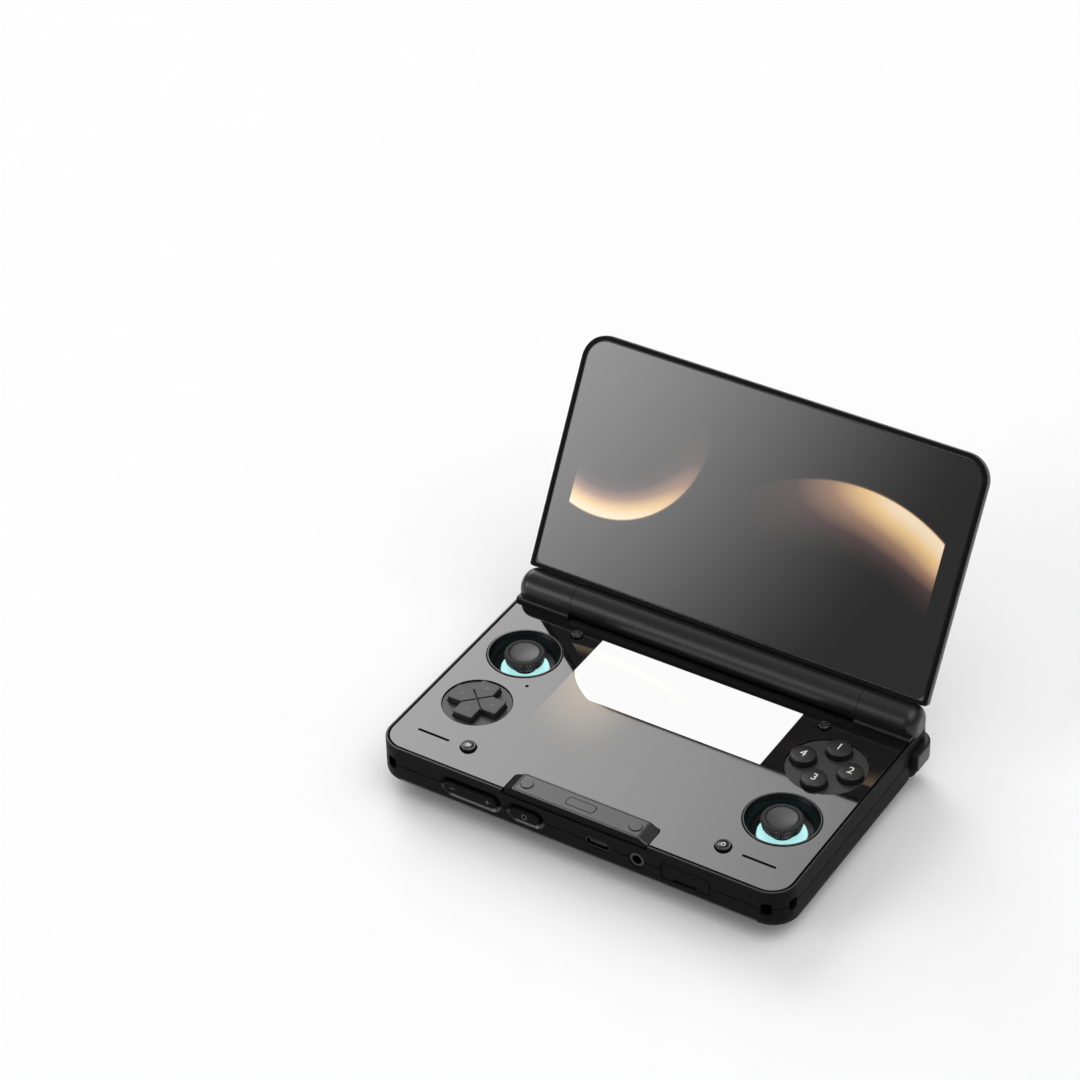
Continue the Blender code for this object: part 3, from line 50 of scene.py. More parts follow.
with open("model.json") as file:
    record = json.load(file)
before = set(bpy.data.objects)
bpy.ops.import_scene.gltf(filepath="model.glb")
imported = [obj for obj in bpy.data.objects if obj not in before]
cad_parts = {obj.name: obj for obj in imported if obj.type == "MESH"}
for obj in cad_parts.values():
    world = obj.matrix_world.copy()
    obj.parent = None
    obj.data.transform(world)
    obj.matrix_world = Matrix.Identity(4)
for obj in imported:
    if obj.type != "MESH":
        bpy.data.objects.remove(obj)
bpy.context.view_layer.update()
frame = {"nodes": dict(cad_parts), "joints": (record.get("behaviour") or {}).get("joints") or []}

# Places read from the frame
JOINTS = {joint["name"]: joint for joint in frame["joints"]}
HINGE = Vector(JOINTS["lid_hinge"]["pos_m"])
LEAN = math.radians(JOINTS["lid_hinge"]["range_deg"][1] - 90)
GLASS_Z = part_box("deck_glass")[1].z
FRONT_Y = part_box("lower_case")[0].y
DECK = Matrix.Translation((0, FRONT_Y, GLASS_Z))
LID = Matrix.Translation(HINGE) @ Matrix.Rotation(math.pi / 2 - LEAN, 4, "X")
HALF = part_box("lower_case")[1].x
CASE_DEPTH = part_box("lower_case")[1].y - FRONT_Y
HINGE_Y = HINGE.y - FRONT_Y
HINGE_Z = HINGE.z - GLASS_Z

# Fineness of the shapes
FINE = 96
MIDDLING = 48
CORNER = 12
OVERRUN = 0.003
WIDE = 1.5 * HALF
SIDES = (("left", -1), ("right", 1))

# Clearances
GAP = 0.0003
FLANGE = 0.0007
KEY_FLANGE = 0.0008
TRIGGER_ROOM = 0.0022
SHOULDER_ROOM = 0.0013
STEP_IN = 0.0038
TROUGH_ROOM = 0.0004
TROUGH_WALL = 0.0014

# Forms of the case: a round is its width and its height, a place is x and y on the deck
KEYS = ("volume_rocker", "power_button")
SIDE_ROUND = (0.0026, 0.0026)
FRONT_ROUND = (0.0080, 0.0047)
REAR_ROUND = (0.0100, 0.0064)
PLATE = 0.0016
REAR_LIP = 0.0008
GRIP = (0.0440, 0.0725, 0.0700, 0.0945)
GRIP_CORNER = 0.0062
SLOT_PLACE = (0.0600, 0.0119)
SLOT_HALF = (0.0060, 0.0005)
MICROPHONE_PLACE = (-0.0471, 0.0482)
MICROPHONE_RADIUS = 0.0006
PAD_PLACE = (0.0200, 0.0048)
PAD_RADIUS = 0.0021

# Case screws
PILLAR = 0.0034
HEAD_HOLE = 0.0023
SHANK_HOLE = 0.0013
HEAD_HOLE_DEPTH = 0.0018
HEAD_RADIUS = 0.0019
HEAD_HEIGHT = 0.0009
HEAD_SINK = 0.0013

# Lid: its sill, the radius of its lower corners, how deep the glass lies, and what lies behind the glass
LID_SILL = 0.0012
LID_FOOT = 0.0008
GLASS_SUNK = 0.0008
PANE = 0.0010
SCREEN = 0.0016

# Pictures on the two screens: left, right, low and high edge
WIDE_PICTURE = (-0.0664, 0.0664, 0.0101, 0.0850)
SMALL_PICTURE = (-0.0378, 0.0378, 0.0157, 0.0812)
PALE_FIELD = (-0.0378, 0.0378, 0.0524, 0.0812)
PICTURE_EDGE = 0.0002

# Camera, fitted to the photograph
CAMERA_PLACE = (0.45193, -0.78989, 0.77105)
CAMERA_TURN = (53.0115, 1.1601, 31.772)
CAMERA_LENS = 120.13


def length(name, default, description):
    return bpy.props.FloatProperty(name=name, description=description, default=default,
                                   unit="LENGTH", precision=5)


def colour(name, default, description):
    return bpy.props.FloatVectorProperty(name=name, description=description, default=default,
                                         size=3, subtype="COLOR", min=0.0, max=1.0)


class ConsoleSizes(bpy.types.PropertyGroup):
    seam: length("Seam depth", 0.0070, "Depth of the joint between the two halves of the case")
    bottom: length("Case bottom", 0.0164, "Depth of the flat underside below the glass")
    wall: length("Wall", 0.0018, "Thickness of the case wall")
    floor: length("Floor", 0.0016, "Thickness of the case floor")
    rim: length("Rim", 0.0007, "Width of the rim round the deck glass")
    glass_in: length("Glass inset", 0.00135, "Distance of the deck glass from the sides of the case")
    front_corner: length("Front corner", 0.0090, "Radius of the front corners in plan")
    rear_corner: length("Rear corner", 0.0060, "Radius of the rear corners in plan")
    glass: length("Deck glass", 0.0011, "Thickness of the deck glass")
    edge: length("Moulded edge", 0.00018, "Radius of the small edges on moulded pieces")
    knuckle: length("Knuckle", 0.0061, "Radius of the hinge barrel and knuckles")
    knuckle_in: length("Knuckle seam", 0.0541, "Half the length of the barrel between the knuckles")
    knuckle_round: length("Knuckle end", 0.0040, "Radius of the rounded outer ends of the knuckles")
    well: length("Well", 0.0129, "Radius of a stick well in the glass")
    lid_edge: length("Lid edge", 0.0045, "Radius of the lid's rounded rear edge")
    lid_corner: length("Lid corner", 0.0090, "Radius of the lid's upper corners")
    lid_face: length("Lid face", 0.0009, "Height of the lid's rim in front of the hinge line")
    lid_low: length("Lid low", 0.0063, "Height of the lid's lower edge above the hinge line")
    lid_top: length("Lid top", 0.0890, "Height of the lid's upper edge above the hinge line")
    light: length("Light ring", 0.0041, "Width of the ring of light round a stick")
    ledge_slope: length("Ledge slope", 0.0034, "Run of the slopes at both ends of the front ledge")
    numeral: length("Numeral", 0.0032, "Height of the numerals on the face buttons")
    tooth: length("Tooth", 0.00043, "Width of one tooth of the sticks' knurl")


class ConsoleColours(bpy.types.PropertyGroup):
    case: colour("Case", (0.0045, 0.0045, 0.0048), "Moulded black of the case")
    key: colour("Keys", (0.010, 0.010, 0.0105), "Moulded black of the face buttons and the shoulders")
    plate: colour("Plates", (0.020, 0.020, 0.021), "Dark grey of the round plates under the buttons")
    glass: colour("Glass", (0.0035, 0.0035, 0.004), "Black behind the glass of both screens")
    # The grey of the lid's flat back is a painted reflection of a bright light, not a paint of its own.
    lid_back_painted_reflection: colour("Lid back", (0.105, 0.105, 0.108), "Grey of the lid's outer face")
    stick: colour("Stick", (0.016, 0.016, 0.0165), "Rubber of the thumb sticks")
    light: colour("Light", (0.52, 1.0, 1.0), "Light of the rings round the sticks")
    mark: colour("Marks", (0.82, 0.82, 0.80), "Printed numerals and marks")
    glow: colour("Glow", (1.0, 0.70, 0.38), "Warm glow of the wide picture")
    pale: colour("Pale", (1.0, 1.0, 1.0), "Bright field of the small picture")
    floor: colour("Floor", (0.89, 0.89, 0.89), "Studio floor")


def sizes():
    return bpy.context.scene.console_sizes


def colours():
    return bpy.context.scene.console_colours


# Outlines

def arc(x, y, radius, start, end, steps=CORNER):
    angles = [math.radians(start + (end - start) * k / steps) for k in range(steps + 1)]
    return [(x + radius * math.cos(a), y + radius * math.sin(a)) for a in angles]


def rounded(x0, x1, y0, y1, low, high=None, inward=0.0, steps=CORNER):
    """A rectangle with its low and its high corners rounded, drawn in by a distance."""
    high = low if high is None else high
    x0, x1, y0, y1 = x0 + inward, x1 - inward, y0 + inward, y1 - inward
    low, high = max(low - inward, 1e-5), max(high - inward, 1e-5)
    return (arc(x0 + low, y0 + low, low, 180, 270, steps) + arc(x1 - low, y0 + low, low, 270, 360, steps)
            + arc(x1 - high, y1 - high, high, 0, 90, steps) + arc(x0 + high, y1 - high, high, 90, 180, steps))


def circle(x, y, radius, steps=FINE):
    turn = 2 * math.pi / steps
    return [(x + radius * math.cos(turn * k), y + radius * math.sin(turn * k)) for k in range(steps)]


def quarter(u0, v0, u1, v1, steps=CORNER):
    """A quarter ellipse that leaves (u0, v0) upright and reaches (u1, v1) level."""
    turns = [math.pi / 2 * k / steps for k in range(steps + 1)]
    return [(u1 + (u0 - u1) * math.cos(t), v0 + (v1 - v0) * math.sin(t)) for t in turns]


# Shapes

def skin(rings):
    """A closed skin through rings of points of one count."""
    shape = bmesh.new()
    loops = [[shape.verts.new(point) for point in ring] for ring in rings]
    for near, far in zip(loops, loops[1:]):
        for i in range(len(near)):
            j = (i + 1) % len(near)
            shape.faces.new((near[i], near[j], far[j], far[i]))
    shape.faces.new(list(reversed(loops[0])))
    shape.faces.new(loops[-1])
    bmesh.ops.recalc_face_normals(shape, faces=shape.faces)
    return shape


def upright(outline, low, high):
    return skin([[(x, y, z) for x, y in outline] for z in (low, high)])


def along_x(outline, low, high):
    return skin([[(x, y, z) for y, z in outline] for x in (low, high)])


def along_y(outline, low, high):
    return skin([[(x, y, z) for x, z in outline] for y in (low, high)])


def block(x0, x1, y0, y1, z0, z1):
    return upright([(x0, y0), (x1, y0), (x1, y1), (x0, y1)], z0, z1)


def disc(x, y, radius, low, high, steps=FINE):
    return upright(circle(x, y, radius, steps), low, high)


def moulded(outline, low, high, top=0.0, foot=0.0, steps=4):
    """A prism of outline(inward) between two heights, with rounded top and foot edges."""
    levels = [(0.0, low)]
    if foot:
        turns = [math.pi / 2 * k / steps for k in range(steps + 1)]
        levels = [(foot * (1 - math.sin(t)), low + foot * (1 - math.cos(t))) for t in turns]
    if top:
        turns = [math.pi / 2 * k / steps for k in range(steps + 1)]
        levels += [(top * (1 - math.cos(t)), high - top * (1 - math.sin(t))) for t in turns]
    else:
        levels.append((0.0, high))
    return skin([[(x, y, z) for x, y in outline(inward)] for inward, z in levels])


def turned(profile, steps=FINE, x=0.0, y=0.0):
    """A solid of revolution from (radius, height) pairs, closed at both ends."""
    return skin([[(px, py, z) for px, py in circle(x, y, r, steps)] for r, z in profile])


def turned_ring(profile, steps=FINE, x=0.0, y=0.0):
    """A ring of revolution whose closed section never meets the axis."""
    shape = bmesh.new()
    columns = []
    for k in range(steps):
        across, along = math.cos(2 * math.pi * k / steps), math.sin(2 * math.pi * k / steps)
        columns.append([shape.verts.new((x + r * across, y + r * along, z)) for r, z in profile])
    for k in range(steps):
        here, there = columns[k], columns[(k + 1) % steps]
        for i in range(len(profile)):
            j = (i + 1) % len(profile)
            shape.faces.new((here[i], there[i], there[j], here[j]))
    bmesh.ops.recalc_face_normals(shape, faces=shape.faces)
    return shape


def together(shapes):
    """Shapes that lie apart, as one."""
    whole = bmesh.new()
    for shape in shapes:
        mesh = bpy.data.meshes.new("part")
        shape.to_mesh(mesh)
        shape.free()
        whole.from_mesh(mesh)
        bpy.data.meshes.remove(mesh)
    return whole


def as_object(name, shape):
    mesh = bpy.data.meshes.new(name)
    shape.to_mesh(mesh)
    shape.free()
    made = bpy.data.objects.new(name, mesh)
    bpy.context.scene.collection.objects.link(made)
    return made


def settled(target, helpers=()):
    """The evaluated shape of an object, which is then removed with its helpers."""
    graph = bpy.context.evaluated_depsgraph_get()
    mesh = bpy.data.meshes.new_from_object(target.evaluated_get(graph))
    shape = bmesh.new()
    shape.from_mesh(mesh)
    bpy.data.meshes.remove(mesh)
    for thing in (target, *helpers):
        data = thing.data
        bpy.data.objects.remove(thing)
        if isinstance(data, bpy.types.Mesh):
            bpy.data.meshes.remove(data)
        else:
            bpy.data.curves.remove(data)
    return shape


def combined(base, tools, how="DIFFERENCE"):
    """A shape after a Boolean with each tool in turn."""
    target = as_object("base", base)
    helpers = [as_object("tool", tool) for tool in tools]
    for helper in helpers:
        change = target.modifiers.new("cut", "BOOLEAN")
        change.operation = how
        change.solver = "EXACT"
        change.object = helper
    return settled(target, helpers)


def softened(shape, width, segments=2, degrees=38.0):
    """A shape whose sharp edges are rounded a little."""
    bmesh.ops.remove_doubles(shape, verts=shape.verts, dist=2e-6)
    target = as_object("base", shape)
    change = target.modifiers.new("edges", "BEVEL")
    change.width = width
    change.segments = segments
    change.limit_method = "ANGLE"
    change.angle_limit = math.radians(degrees)
    change.use_clamp_overlap = True
    return settled(target)


def piece(name, shape, place, body, material, replaces=(), sharp=30.0):
    """One finished piece: in its place, smooth, with its finish, riding on its body."""
    bmesh.ops.transform(shape, matrix=place, verts=shape.verts)
    bmesh.ops.recalc_face_normals(shape, faces=shape.faces)
    made = as_object(name, shape)
    made.data.materials.append(material)
    made.data.shade_smooth()
    made.data.set_sharp_from_angle(angle=math.radians(sharp))
    even = made.modifiers.new("even_shading", "WEIGHTED_NORMAL")
    even.keep_sharp = True
    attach(made, body)
    if replaces:
        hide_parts(*replaces)
    return made


def on_deck(node):
    """A node's box on the deck's axes."""
    low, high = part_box(node)
    shift = Vector((0, FRONT_Y, GLASS_Z))
    return low - shift, high - shift


def round_of(node):
    """Middle x and y, radius, and lowest and highest point of a round node."""
    low, high = on_deck(node)
    return (low.x + high.x) / 2, (low.y + high.y) / 2, (high.x - low.x) / 2, low.z, high.z


# Finishes

def add(tree, kind, **settings):
    made = tree.nodes.new(kind)
    for name, value in settings.items():
        setattr(made, name, value)
    return made


def fed(tree, socket, value):
    """Sets a socket to a number or links it to an output."""
    if isinstance(value, bpy.types.NodeSocket):
        tree.links.new(value, socket)
    else:
        socket.default_value = value


def sum_of(tree, operation, *values):
    """The output of one math node."""
    made = add(tree, "ShaderNodeMath", operation=operation)
    for socket, value in zip(made.inputs, values):
        fed(tree, socket, value)
    return made.outputs[0]


def eased(tree, value, start, end, low=0.0, high=1.0):
    """A value that runs smoothly from low at start to high at end."""
    made = add(tree, "ShaderNodeMapRange", interpolation_type="SMOOTHSTEP")
    for socket, number in zip(made.inputs, (value, start, end, low, high)):
        fed(tree, socket, number)
    return made.outputs[0]


def local_axes(tree, place):
    """x, y and z of a point on the axes of a place, from the piece's own coordinates."""
    here = add(tree, "ShaderNodeTexCoord").outputs["Object"]
    mapping = add(tree, "ShaderNodeMapping", vector_type="TEXTURE")
    mapping.inputs["Location"].default_value = place.to_translation()
    mapping.inputs["Rotation"].default_value = place.to_euler()
    tree.links.new(here, mapping.inputs["Vector"])
    split = add(tree, "ShaderNodeSeparateXYZ")
    tree.links.new(mapping.outputs[0], split.inputs[0])
    return split.outputs


def new_group(name, inputs, outputs):
    tree = bpy.data.node_groups.new(name, "ShaderNodeTree")
    for title, kind, default in inputs:
        socket = tree.interface.new_socket(title, in_out="INPUT", socket_type=kind)
        socket.default_value = default
    for title, kind in outputs:
        tree.interface.new_socket(title, in_out="OUTPUT", socket_type=kind)
    return tree, tree.nodes.new("NodeGroupInput"), tree.nodes.new("NodeGroupOutput")


def moulded_grain():
    """Fine grain of moulded or painted faces: a height, and a roughness that wanders about a middle."""
    if "moulded_grain" in bpy.data.node_groups:
        return bpy.data.node_groups["moulded_grain"]
    tree, given, result = new_group(
        "moulded_grain",
        [("Scale", "NodeSocketFloat", 3000.0), ("Roughness", "NodeSocketFloat", 0.4),
         ("Wander", "NodeSocketFloat", 0.05), ("Colour", "NodeSocketColor", (0.02, 0.02, 0.02, 1.0)),
         ("Shade", "NodeSocketFloat", 0.15)],
        [("Height", "NodeSocketFloat"), ("Roughness", "NodeSocketFloat"), ("Colour", "NodeSocketColor")])
    here = add(tree, "ShaderNodeTexCoord").outputs["Object"]
    fine = add(tree, "ShaderNodeTexNoise")
    fine.inputs["Detail"].default_value = 3.0
    tree.links.new(here, fine.inputs["Vector"])
    tree.links.new(given.outputs["Scale"], fine.inputs["Scale"])
    broad = add(tree, "ShaderNodeTexNoise")
    broad.inputs["Scale"].default_value = 60.0
    broad.inputs["Detail"].default_value = 4.0
    tree.links.new(here, broad.inputs["Vector"])
    offset = sum_of(tree, "SUBTRACT", broad.outputs[0], 0.5)
    wander = sum_of(tree, "MULTIPLY_ADD", offset, given.outputs["Wander"], given.outputs["Roughness"])
    mix = add(tree, "ShaderNodeMix", data_type="RGBA", blend_type="MULTIPLY")
    tree.links.new(given.outputs["Shade"], mix.inputs[0])
    tree.links.new(given.outputs["Colour"], mix.inputs[6])
    tree.links.new(fine.outputs[0], mix.inputs[7])
    tree.links.new(fine.outputs[0], result.inputs["Height"])
    tree.links.new(wander, result.inputs["Roughness"])
    tree.links.new(mix.outputs[2], result.inputs["Colour"])
    return tree


def handled_glass():
    """Faint smears of handling on glass, as a roughness."""
    if "handled_glass" in bpy.data.node_groups:
        return bpy.data.node_groups["handled_glass"]
    tree, given, result = new_group(
        "handled_glass",
        [("Clean", "NodeSocketFloat", 0.03), ("Smeared", "NodeSocketFloat", 0.12)],
        [("Roughness", "NodeSocketFloat")])
    here = add(tree, "ShaderNodeTexCoord").outputs["Object"]
    smear = add(tree, "ShaderNodeTexNoise")
    smear.inputs["Scale"].default_value = 28.0
    smear.inputs["Detail"].default_value = 5.0
    smear.inputs["Distortion"].default_value = 0.8
    tree.links.new(here, smear.inputs["Vector"])
    made = eased(tree, smear.outputs[0], 0.52, 0.80)
    mix = add(tree, "ShaderNodeMix", data_type="FLOAT")
    tree.links.new(made, mix.inputs[0])
    tree.links.new(given.outputs["Clean"], mix.inputs[2])
    tree.links.new(given.outputs["Smeared"], mix.inputs[3])
    tree.links.new(mix.outputs[0], result.inputs["Roughness"])
    return tree


def finish(name, tint, rough, metal=0.0, gloss=0.5, grain=3000.0, depth=0.00002, shade=0.25):
    """A moulded, painted or metal finish with its grain."""
    if name in bpy.data.materials:
        return bpy.data.materials[name]
    made = bpy.data.materials.new(name)
    made.use_nodes = True
    tree = made.node_tree
    shader = tree.nodes["Principled BSDF"]
    shader.inputs["Metallic"].default_value = metal
    shader.inputs["Specular IOR Level"].default_value = gloss
    texture = add(tree, "ShaderNodeGroup", node_tree=moulded_grain())
    texture.inputs["Scale"].default_value = grain
    texture.inputs["Roughness"].default_value = rough
    texture.inputs["Wander"].default_value = 0.08
    texture.inputs["Colour"].default_value = (*tint, 1.0)
    texture.inputs["Shade"].default_value = shade
    bump = add(tree, "ShaderNodeBump")
    bump.inputs["Distance"].default_value = depth
    bump.inputs["Strength"].default_value = 0.6
    tree.links.new(texture.outputs["Height"], bump.inputs["Height"])
    tree.links.new(texture.outputs["Roughness"], shader.inputs["Roughness"])
    tree.links.new(texture.outputs["Colour"], shader.inputs["Base Color"])
    tree.links.new(bump.outputs["Normal"], shader.inputs["Normal"])
    return made


def case_black():
    """Dull moulded black, with a sheen on the rim, the knuckles and the lips of the lower openings."""
    if "case_black" in bpy.data.materials:
        return bpy.data.materials["case_black"]
    made = finish("case_black", colours().case, 0.5, gloss=0.06)
    tree = made.node_tree
    x, y, z = local_axes(tree, DECK)
    shader = tree.nodes["Principled BSDF"]
    rising = eased(tree, y, HINGE_Y - 1.15 * sizes().knuckle, HINGE_Y - sizes().knuckle, 0.6, 0.8)
    above = sum_of(tree, "MULTIPLY", rising, eased(tree, z, -1.4 * sizes().edge, -0.3 * sizes().edge))
    sunk = sum_of(tree, "MULTIPLY", eased(tree, y, GAP / 4, GAP / 2),
                  eased(tree, y, 4 * GAP, 5 * GAP, 1.0, 0.0))
    straight = HALF - sizes().front_corner
    middle = eased(tree, sum_of(tree, "ABSOLUTE", x), straight - GAP, straight, 1.0, 0.0)
    below = eased(tree, z, -1.12 * sizes().seam, -1.02 * sizes().seam, 1.0, 0.0)
    lips = sum_of(tree, "MULTIPLY", sunk, sum_of(tree, "MULTIPLY", middle, below))
    tree.links.new(sum_of(tree, "MAXIMUM", above, lips), shader.inputs["Coat Weight"])
    shader.inputs["Coat Roughness"].default_value = 0.3
    return made


def ledge_black():
    """Dull black whose flat top and right end slope have a satin sheen."""
    if "ledge_black" in bpy.data.materials:
        return bpy.data.materials["ledge_black"]
    made = finish("ledge_black", colours().case, 0.5, gloss=0.06)
    tree = made.node_tree
    x, y, z = local_axes(tree, DECK)
    low, high = on_deck("front_ledge")
    shader = tree.nodes["Principled BSDF"]
    edge = high.x - sizes().ledge_slope
    left = eased(tree, x, -edge - GAP, -edge)
    flat = sum_of(tree, "MULTIPLY", left, eased(tree, z, high.z - 1.4 * GAP, high.z - 1.1 * GAP))
    slope = sum_of(tree, "MULTIPLY", eased(tree, x, edge - GAP, edge, 0.0, 0.85),
                   eased(tree, y, low.y + GAP / 2, low.y + GAP))
    sheen = sum_of(tree, "MAXIMUM", flat, slope)
    tree.links.new(sheen, shader.inputs["Coat Weight"])
    shader.inputs["Coat Roughness"].default_value = 0.36
    shader.inputs["Coat IOR"].default_value = 1.62
    return made


def key_black():
    return finish("key_black", colours().key, 0.36, gloss=0.42, grain=2600.0)


def well_black():
    """Dull black of the wells, with a sheen on the lip that stands above the glass."""
    if "well_black" in bpy.data.materials:
        return bpy.data.materials["well_black"]
    made = finish("well_black", colours().case, 0.38, gloss=0.15)
    tree = made.node_tree
    x, y, z = local_axes(tree, DECK)
    shader = tree.nodes["Principled BSDF"]
    tree.links.new(eased(tree, z, 0.0, sizes().edge), shader.inputs["Coat Weight"])
    shader.inputs["Coat Roughness"].default_value = 0.3
    return made


def button_black():
    return finish("button_black", colours().case, 0.24, gloss=0.5, grain=2600.0, depth=0.00001)


def plate_grey():
    return finish("plate_grey", colours().plate, 0.42, gloss=0.55)


def stick_rubber():
    return finish("stick_rubber", colours().stick, 0.45, gloss=0.8, grain=2200.0, depth=0.00002)


# Stick rubber painted 2.1 times lighter for the pads on the stick tops: a painted highlight, light falling on
# them from above.
def thumb_rubber_painted_highlight():
    tint = [channel * 2.1 for channel in colours().stick]
    return finish("thumb_rubber_painted_highlight", tint, 0.5, gloss=0.8, grain=2200.0, depth=0.00002)


# Stick rubber painted three times lighter, and glossier, for the knurl's teeth: a painted highlight that makes
# them show as bright dots against the darker stick.
def knurl_rubber_painted_highlight():
    tint = [channel * 3.0 for channel in colours().stick]
    return finish("knurl_rubber_painted_highlight", tint, 0.28, gloss=1.0, grain=2200.0, depth=0.0)


def seal_grey():
    return finish("seal_grey", (0.10, 0.10, 0.10), 0.4)


def foot_rubber():
    return finish("foot_rubber", colours().stick, 0.75, gloss=0.3, grain=1800.0)


def mark_print():
    return finish("mark_print", colours().mark, 0.55, gloss=0.3, depth=0.0)


def dim_print():
    tint = [channel * 0.16 for channel in colours().mark]
    return finish("dim_print", tint, 0.5, gloss=0.4, depth=0.0)


def screw_steel():
    return finish("screw_steel", (0.09, 0.09, 0.095), 0.35, metal=1.0, grain=1500.0)


def bright_steel():
    return finish("bright_steel", (0.50, 0.50, 0.52), 0.30, metal=1.0, grain=1500.0)


def fin_aluminium():
    return finish("fin_aluminium", (0.70, 0.70, 0.72), 0.38, metal=1.0, grain=1200.0)


def inner_black():
    return finish("inner_black", (0.03, 0.03, 0.032), 0.55)


def pale_nylon():
    return finish("pale_nylon", (0.42, 0.42, 0.40), 0.5)


def board_green():
    return finish("board_green", (0.015, 0.085, 0.045), 0.42)


def mat_grey():
    return finish("mat_grey", (0.30, 0.30, 0.30), 0.7)


def battery_film():
    return finish("battery_film", (0.05, 0.05, 0.055), 0.3)


def ring_light():
    """A lit, milky ring."""
    if "ring_light" in bpy.data.materials:
        return bpy.data.materials["ring_light"]
    made = finish("ring_light", [channel * 0.3 for channel in colours().light], 0.45)
    shader = made.node_tree.nodes["Principled BSDF"]
    shader.inputs["Emission Color"].default_value = (*colours().light, 1.0)
    shader.inputs["Emission Strength"].default_value = 0.75
    return made


def lid_black_with_painted_reflection():
    """Grey painted on the lid's flat back as a painted reflection of a bright light, black round its edges and
    on its barrel.
    """
    if "lid_black_with_painted_reflection" in bpy.data.materials:
        return bpy.data.materials["lid_black_with_painted_reflection"]
    made = finish("lid_black_with_painted_reflection", colours().lid_back_painted_reflection, 0.45, gloss=0.06)
    tree = made.node_tree
    shader = tree.nodes["Principled BSDF"]
    x, y, z = local_axes(tree, LID)
    low, edge, back = sizes().lid_low, sizes().lid_edge, -sizes().knuckle
    barrel = eased(tree, y, low - GAP, low, 0.75, 0.0)
    outer = eased(tree, z, sizes().lid_face - 3 * GAP, sizes().lid_face - 2 * GAP, 0.75, 0.0)
    tree.links.new(sum_of(tree, "MAXIMUM", barrel, outer), shader.inputs["Coat Weight"])
    shader.inputs["Coat Roughness"].default_value = 0.33
    from_side = eased(tree, sum_of(tree, "ABSOLUTE", x), HALF - edge * 0.95, HALF - edge * 0.25, 1.0, 0.0)
    from_top = eased(tree, y, sizes().lid_top - edge * 0.95, sizes().lid_top - edge * 0.25, 1.0, 0.0)
    from_low = eased(tree, y, -edge * 0.3, edge * 0.4)
    behind = eased(tree, z, back + edge * 0.05, back + edge * 0.45, 1.0, 0.0)
    # Where the grey painted reflection lies: the lid's flat back, fading to black over its rounded edges.
    flat = sum_of(tree, "MULTIPLY", sum_of(tree, "MULTIPLY", from_side, from_top),
                  sum_of(tree, "MULTIPLY", from_low, behind))
    mix = add(tree, "ShaderNodeMix", data_type="RGBA")
    tree.links.new(flat, mix.inputs[0])
    mix.inputs[6].default_value = (*colours().case, 1.0)
    tree.links.new(shader.inputs["Base Color"].links[0].from_socket, mix.inputs[7])
    tree.links.new(mix.outputs[2], shader.inputs["Base Color"])
    return made


def glass(name):
    made = bpy.data.materials.new(name)
    made.use_nodes = True
    tree = made.node_tree
    shader = tree.nodes["Principled BSDF"]
    shader.inputs["Base Color"].default_value = (*colours().glass, 1.0)
    shader.inputs["IOR"].default_value = 1.75
    handled = add(tree, "ShaderNodeGroup", node_tree=handled_glass())
    handled.inputs["Clean"].default_value = 0.035
    handled.inputs["Smeared"].default_value = 0.06
    tree.links.new(handled.outputs[0], shader.inputs["Roughness"])
    return made, tree, shader


def distance(tree, x, y, centre_x, centre_y):
    dx = sum_of(tree, "SUBTRACT", x, centre_x)
    dy = sum_of(tree, "SUBTRACT", y, centre_y)
    return sum_of(tree, "SQRT", sum_of(tree, "ADD", sum_of(tree, "MULTIPLY", dx, dx),
                                       sum_of(tree, "MULTIPLY", dy, dy)))


def crescent(tree, far, radius, crisp, broad):
    """A glow that ends sharply at a circle and fades over a broad stretch inside it."""
    return sum_of(tree, "MULTIPLY", eased(tree, far, radius, radius + crisp, 1.0, 0.0),
                  eased(tree, far, radius - broad, radius))


def between(tree, value, low, high):
    return sum_of(tree, "MULTIPLY", eased(tree, value, low - PICTURE_EDGE, low),
                  eased(tree, value, high, high + PICTURE_EDGE, 1.0, 0.0))


def within(tree, x, y, x0, x1, y0, y1):
    """1 inside a rectangle and 0 outside it."""
    return sum_of(tree, "MULTIPLY", between(tree, x, x0, x1), between(tree, y, y0, y1))


def lid_glass_finish():
    """Black glass over the wide picture: two soft golden crescents."""
    if "lid_glass_black" in bpy.data.materials:
        return bpy.data.materials["lid_glass_black"]
    made, tree, shader = glass("lid_glass_black")
    x, y, z = local_axes(tree, LID)
    great = crescent(tree, distance(tree, x, y, 0.034, 0.005), radius=0.062, crisp=0.0012, broad=0.026)
    shore = sum_of(tree, "MULTIPLY", eased(tree, x, -0.010, 0.050), eased(tree, y, 0.030, 0.050))
    small = crescent(tree, distance(tree, x, y, -0.056, 0.064), radius=0.034, crisp=0.0010, broad=0.016)
    fall = eased(tree, y, 0.030, 0.074, 1.0, 0.0)
    glow = sum_of(tree, "MAXIMUM", sum_of(tree, "MULTIPLY", great, shore),
                  sum_of(tree, "MULTIPLY", small, fall))
    lit = sum_of(tree, "MULTIPLY", glow, within(tree, x, y, *WIDE_PICTURE))
    ramp = add(tree, "ShaderNodeValToRGB")
    warm = colours().glow
    ramp.color_ramp.elements[0].color = (0.0, 0.0, 0.0, 1.0)
    ramp.color_ramp.elements[1].color = (warm[0] * 0.95, warm[1] * 1.1, warm[2] * 1.45, 1.0)
    for at, share in ((0.30, (0.055, 0.042, 0.07)), (0.60, (0.32, 0.26, 0.30)), (0.88, (0.86, 0.82, 0.70))):
        stop = ramp.color_ramp.elements.new(at)
        stop.color = (warm[0] * share[0], warm[1] * share[1], warm[2] * share[2], 1.0)
    tree.links.new(lit, ramp.inputs[0])
    tree.links.new(ramp.outputs[0], shader.inputs["Emission Color"])
    shader.inputs["Emission Strength"].default_value = 0.9
    return made


